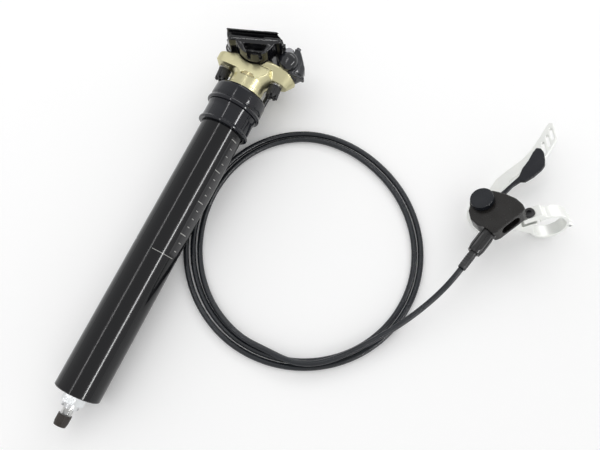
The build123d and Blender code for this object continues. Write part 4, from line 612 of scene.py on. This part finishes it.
def worn(node, name, cell, passes):
    """A machined or cast piece with worn-round edges: its solid as a closed skin of small cells, each point
    then moved a few times towards the middle of its neighbours."""
    skin = NODES[node].data.copy()
    work = bmesh.new()
    work.from_mesh(skin)
    bmesh.ops.remove_doubles(work, verts=work.verts, dist=WELD)
    work.to_mesh(skin)
    work.free()
    piece = linked(name, skin)
    cells = piece.modifiers.new("cells", "REMESH")
    cells.mode, cells.voxel_size, cells.use_smooth_shade = "VOXEL", cell, True
    relax = piece.modifiers.new("relax", "SMOOTH")
    relax.factor, relax.iterations = RELAX, passes
    bpy.context.view_layer.update()
    done = bpy.data.meshes.new_from_object(piece.evaluated_get(bpy.context.evaluated_depsgraph_get()))
    piece.modifiers.clear()
    piece.data = done
    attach(finish_as(piece, SLOT_OF[node]), BODY_OF[node])
    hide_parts(node)


# Floor, surround, lamps and camera
FLOOR_HALF = 6.0
PAPER = (0.95, 0.95, 0.95)
PAPER_PATCHES = (0.96, 0.96, 0.96)
PAPER_ROUGH = 0.9
PAPER_PATCH_SCALE = 2
PAPER_GLOW = 0.07
WHITE = (1, 1, 1, 1)
HORIZON_HEIGHT, HORIZON_LIGHT = 0.35, 0.80
TOP_HEIGHT, TOP_LIGHT = 0.95, 0.70
LAMP_TARGET = np.array([0.08, -0.02, 0.0])
STEEP = 0.7
LENS = 36.0
CLIP_START = 0.01
CAMERA_RIGHT = (0.8988, 0.4385, 0.0)
CAMERA_RISE = (-0.4219, 0.8649, 0.2719)
CAMERA_POINT = (0.13066, -0.13997, 0.39767)
# Each lamp: name, direction, distance, width, height, power, lights matt surfaces, shows in gloss
LAMPS = (
    ("side strip", (0.79, -0.03, 0.61), 1.3, 0.10, 1.2, 9.0, False, True),
    ("top strip", (-0.28, 0.0, 0.96), 1.4, 0.05, 1.2, 2.0, False, True),
    ("window", (-0.75, 0.35, 0.75), 1.9, 2.4, 2.4, 12.0, True, False),
    ("back", (0.1, 1.0, 0.6), 1.4, 1.0, 0.25, 3.0, True, True),
)


def placed(right, rise, point):
    """The place of something whose own X and Y lie along the two given directions, squared up, at a point."""
    right = np.array(right, float) / np.linalg.norm(right)
    back = np.cross(right, rise)
    back /= np.linalg.norm(back)
    rows = np.eye(4)
    rows[:3] = np.stack([right, np.cross(back, right), back, point], axis=1)
    return Matrix(rows.tolist())


def paper_floor():
    """A pale floor that keeps every shadow, a little lighter to the camera and in gloss than it is."""
    side = np.array([-FLOOR_HALF, FLOOR_HALF])
    corners = np.stack([*np.meshgrid(side, side), np.full((2, 2), TABLE)], axis=2)
    floor = grid_mesh("floor", corners)
    paint = Paint("floor paper", PAPER, PAPER_ROUGH, Specular_IOR_Level=0.0)
    paint.tint(paint.noise(PAPER_PATCH_SCALE, 2), PAPER_PATCHES)
    rays = paint.node("ShaderNodeLightPath")
    seen = paint.math("MAXIMUM", rays.outputs["Is Camera Ray"], rays.outputs["Is Glossy Ray"])
    seen = paint.math("MAXIMUM", seen, rays.outputs["Is Transmission Ray"])
    paint.put("Emission Color", WHITE)
    paint.join(paint.math("MULTIPLY", seen, PAPER_GLOW), paint.shader.inputs["Emission Strength"])
    floor.data.materials.append(paint.material)


def surround():
    """White light from all round, a little weaker towards the top."""
    world = bpy.data.worlds.new("surround")
    bpy.context.scene.world = world
    world.use_nodes = True
    tree = world.node_tree
    light = tree.nodes["Background"].inputs
    light["Color"].default_value = WHITE
    parts = tree.nodes.new("ShaderNodeSeparateXYZ")
    tree.links.new(tree.nodes.new("ShaderNodeTexCoord").outputs["Generated"], parts.inputs[0])
    fade = tree.nodes.new("ShaderNodeMapRange")
    for key, value in (("From Min", HORIZON_HEIGHT), ("From Max", TOP_HEIGHT), ("To Min", HORIZON_LIGHT),
                       ("To Max", TOP_LIGHT)):
        fade.inputs[key].default_value = value
    tree.links.new(parts.outputs["Z"], fade.inputs["Value"])
    tree.links.new(fade.outputs["Result"], light["Strength"])


def lamps():
    """Two strips that only gloss shows, a large window that gloss doesn't show, and one lamp behind."""
    for name, way, distance, width, height, power, lights, shown in LAMPS:
        lamp = bpy.data.lights.new(name, "AREA")
        lamp.shape, lamp.size, lamp.size_y, lamp.energy = "RECTANGLE", width, height, power
        way = np.array(way) / np.linalg.norm(way)
        side = ACROSS if abs(way[1]) > STEEP else np.cross([0, 1.0, 0], way)
        holder = linked(name, lamp)
        holder.visible_diffuse, holder.visible_glossy = lights, shown
        holder.matrix_world = placed(side, np.cross(way, side), LAMP_TARGET + distance * way)


def camera():
    """The camera of the photograph, with a lens as long as its sensor is wide."""
    lens = bpy.data.cameras.new("camera")
    lens.lens, lens.sensor_width, lens.sensor_fit = LENS, LENS, "HORIZONTAL"
    lens.clip_start = CLIP_START
    holder = linked("camera", lens)
    holder.matrix_world = placed(CAMERA_RIGHT, CAMERA_RISE, CAMERA_POINT)
    bpy.context.scene.camera = holder


finish_nodes()
cables()
sleeve_rings()
collars()
dome()
for node, name, cell, passes in WORN_PIECES:
    worn(node, name, cell * MM, passes)
paper_floor()
surround()
lamps()
camera()
bpy.context.scene.view_settings.view_transform = "Standard"
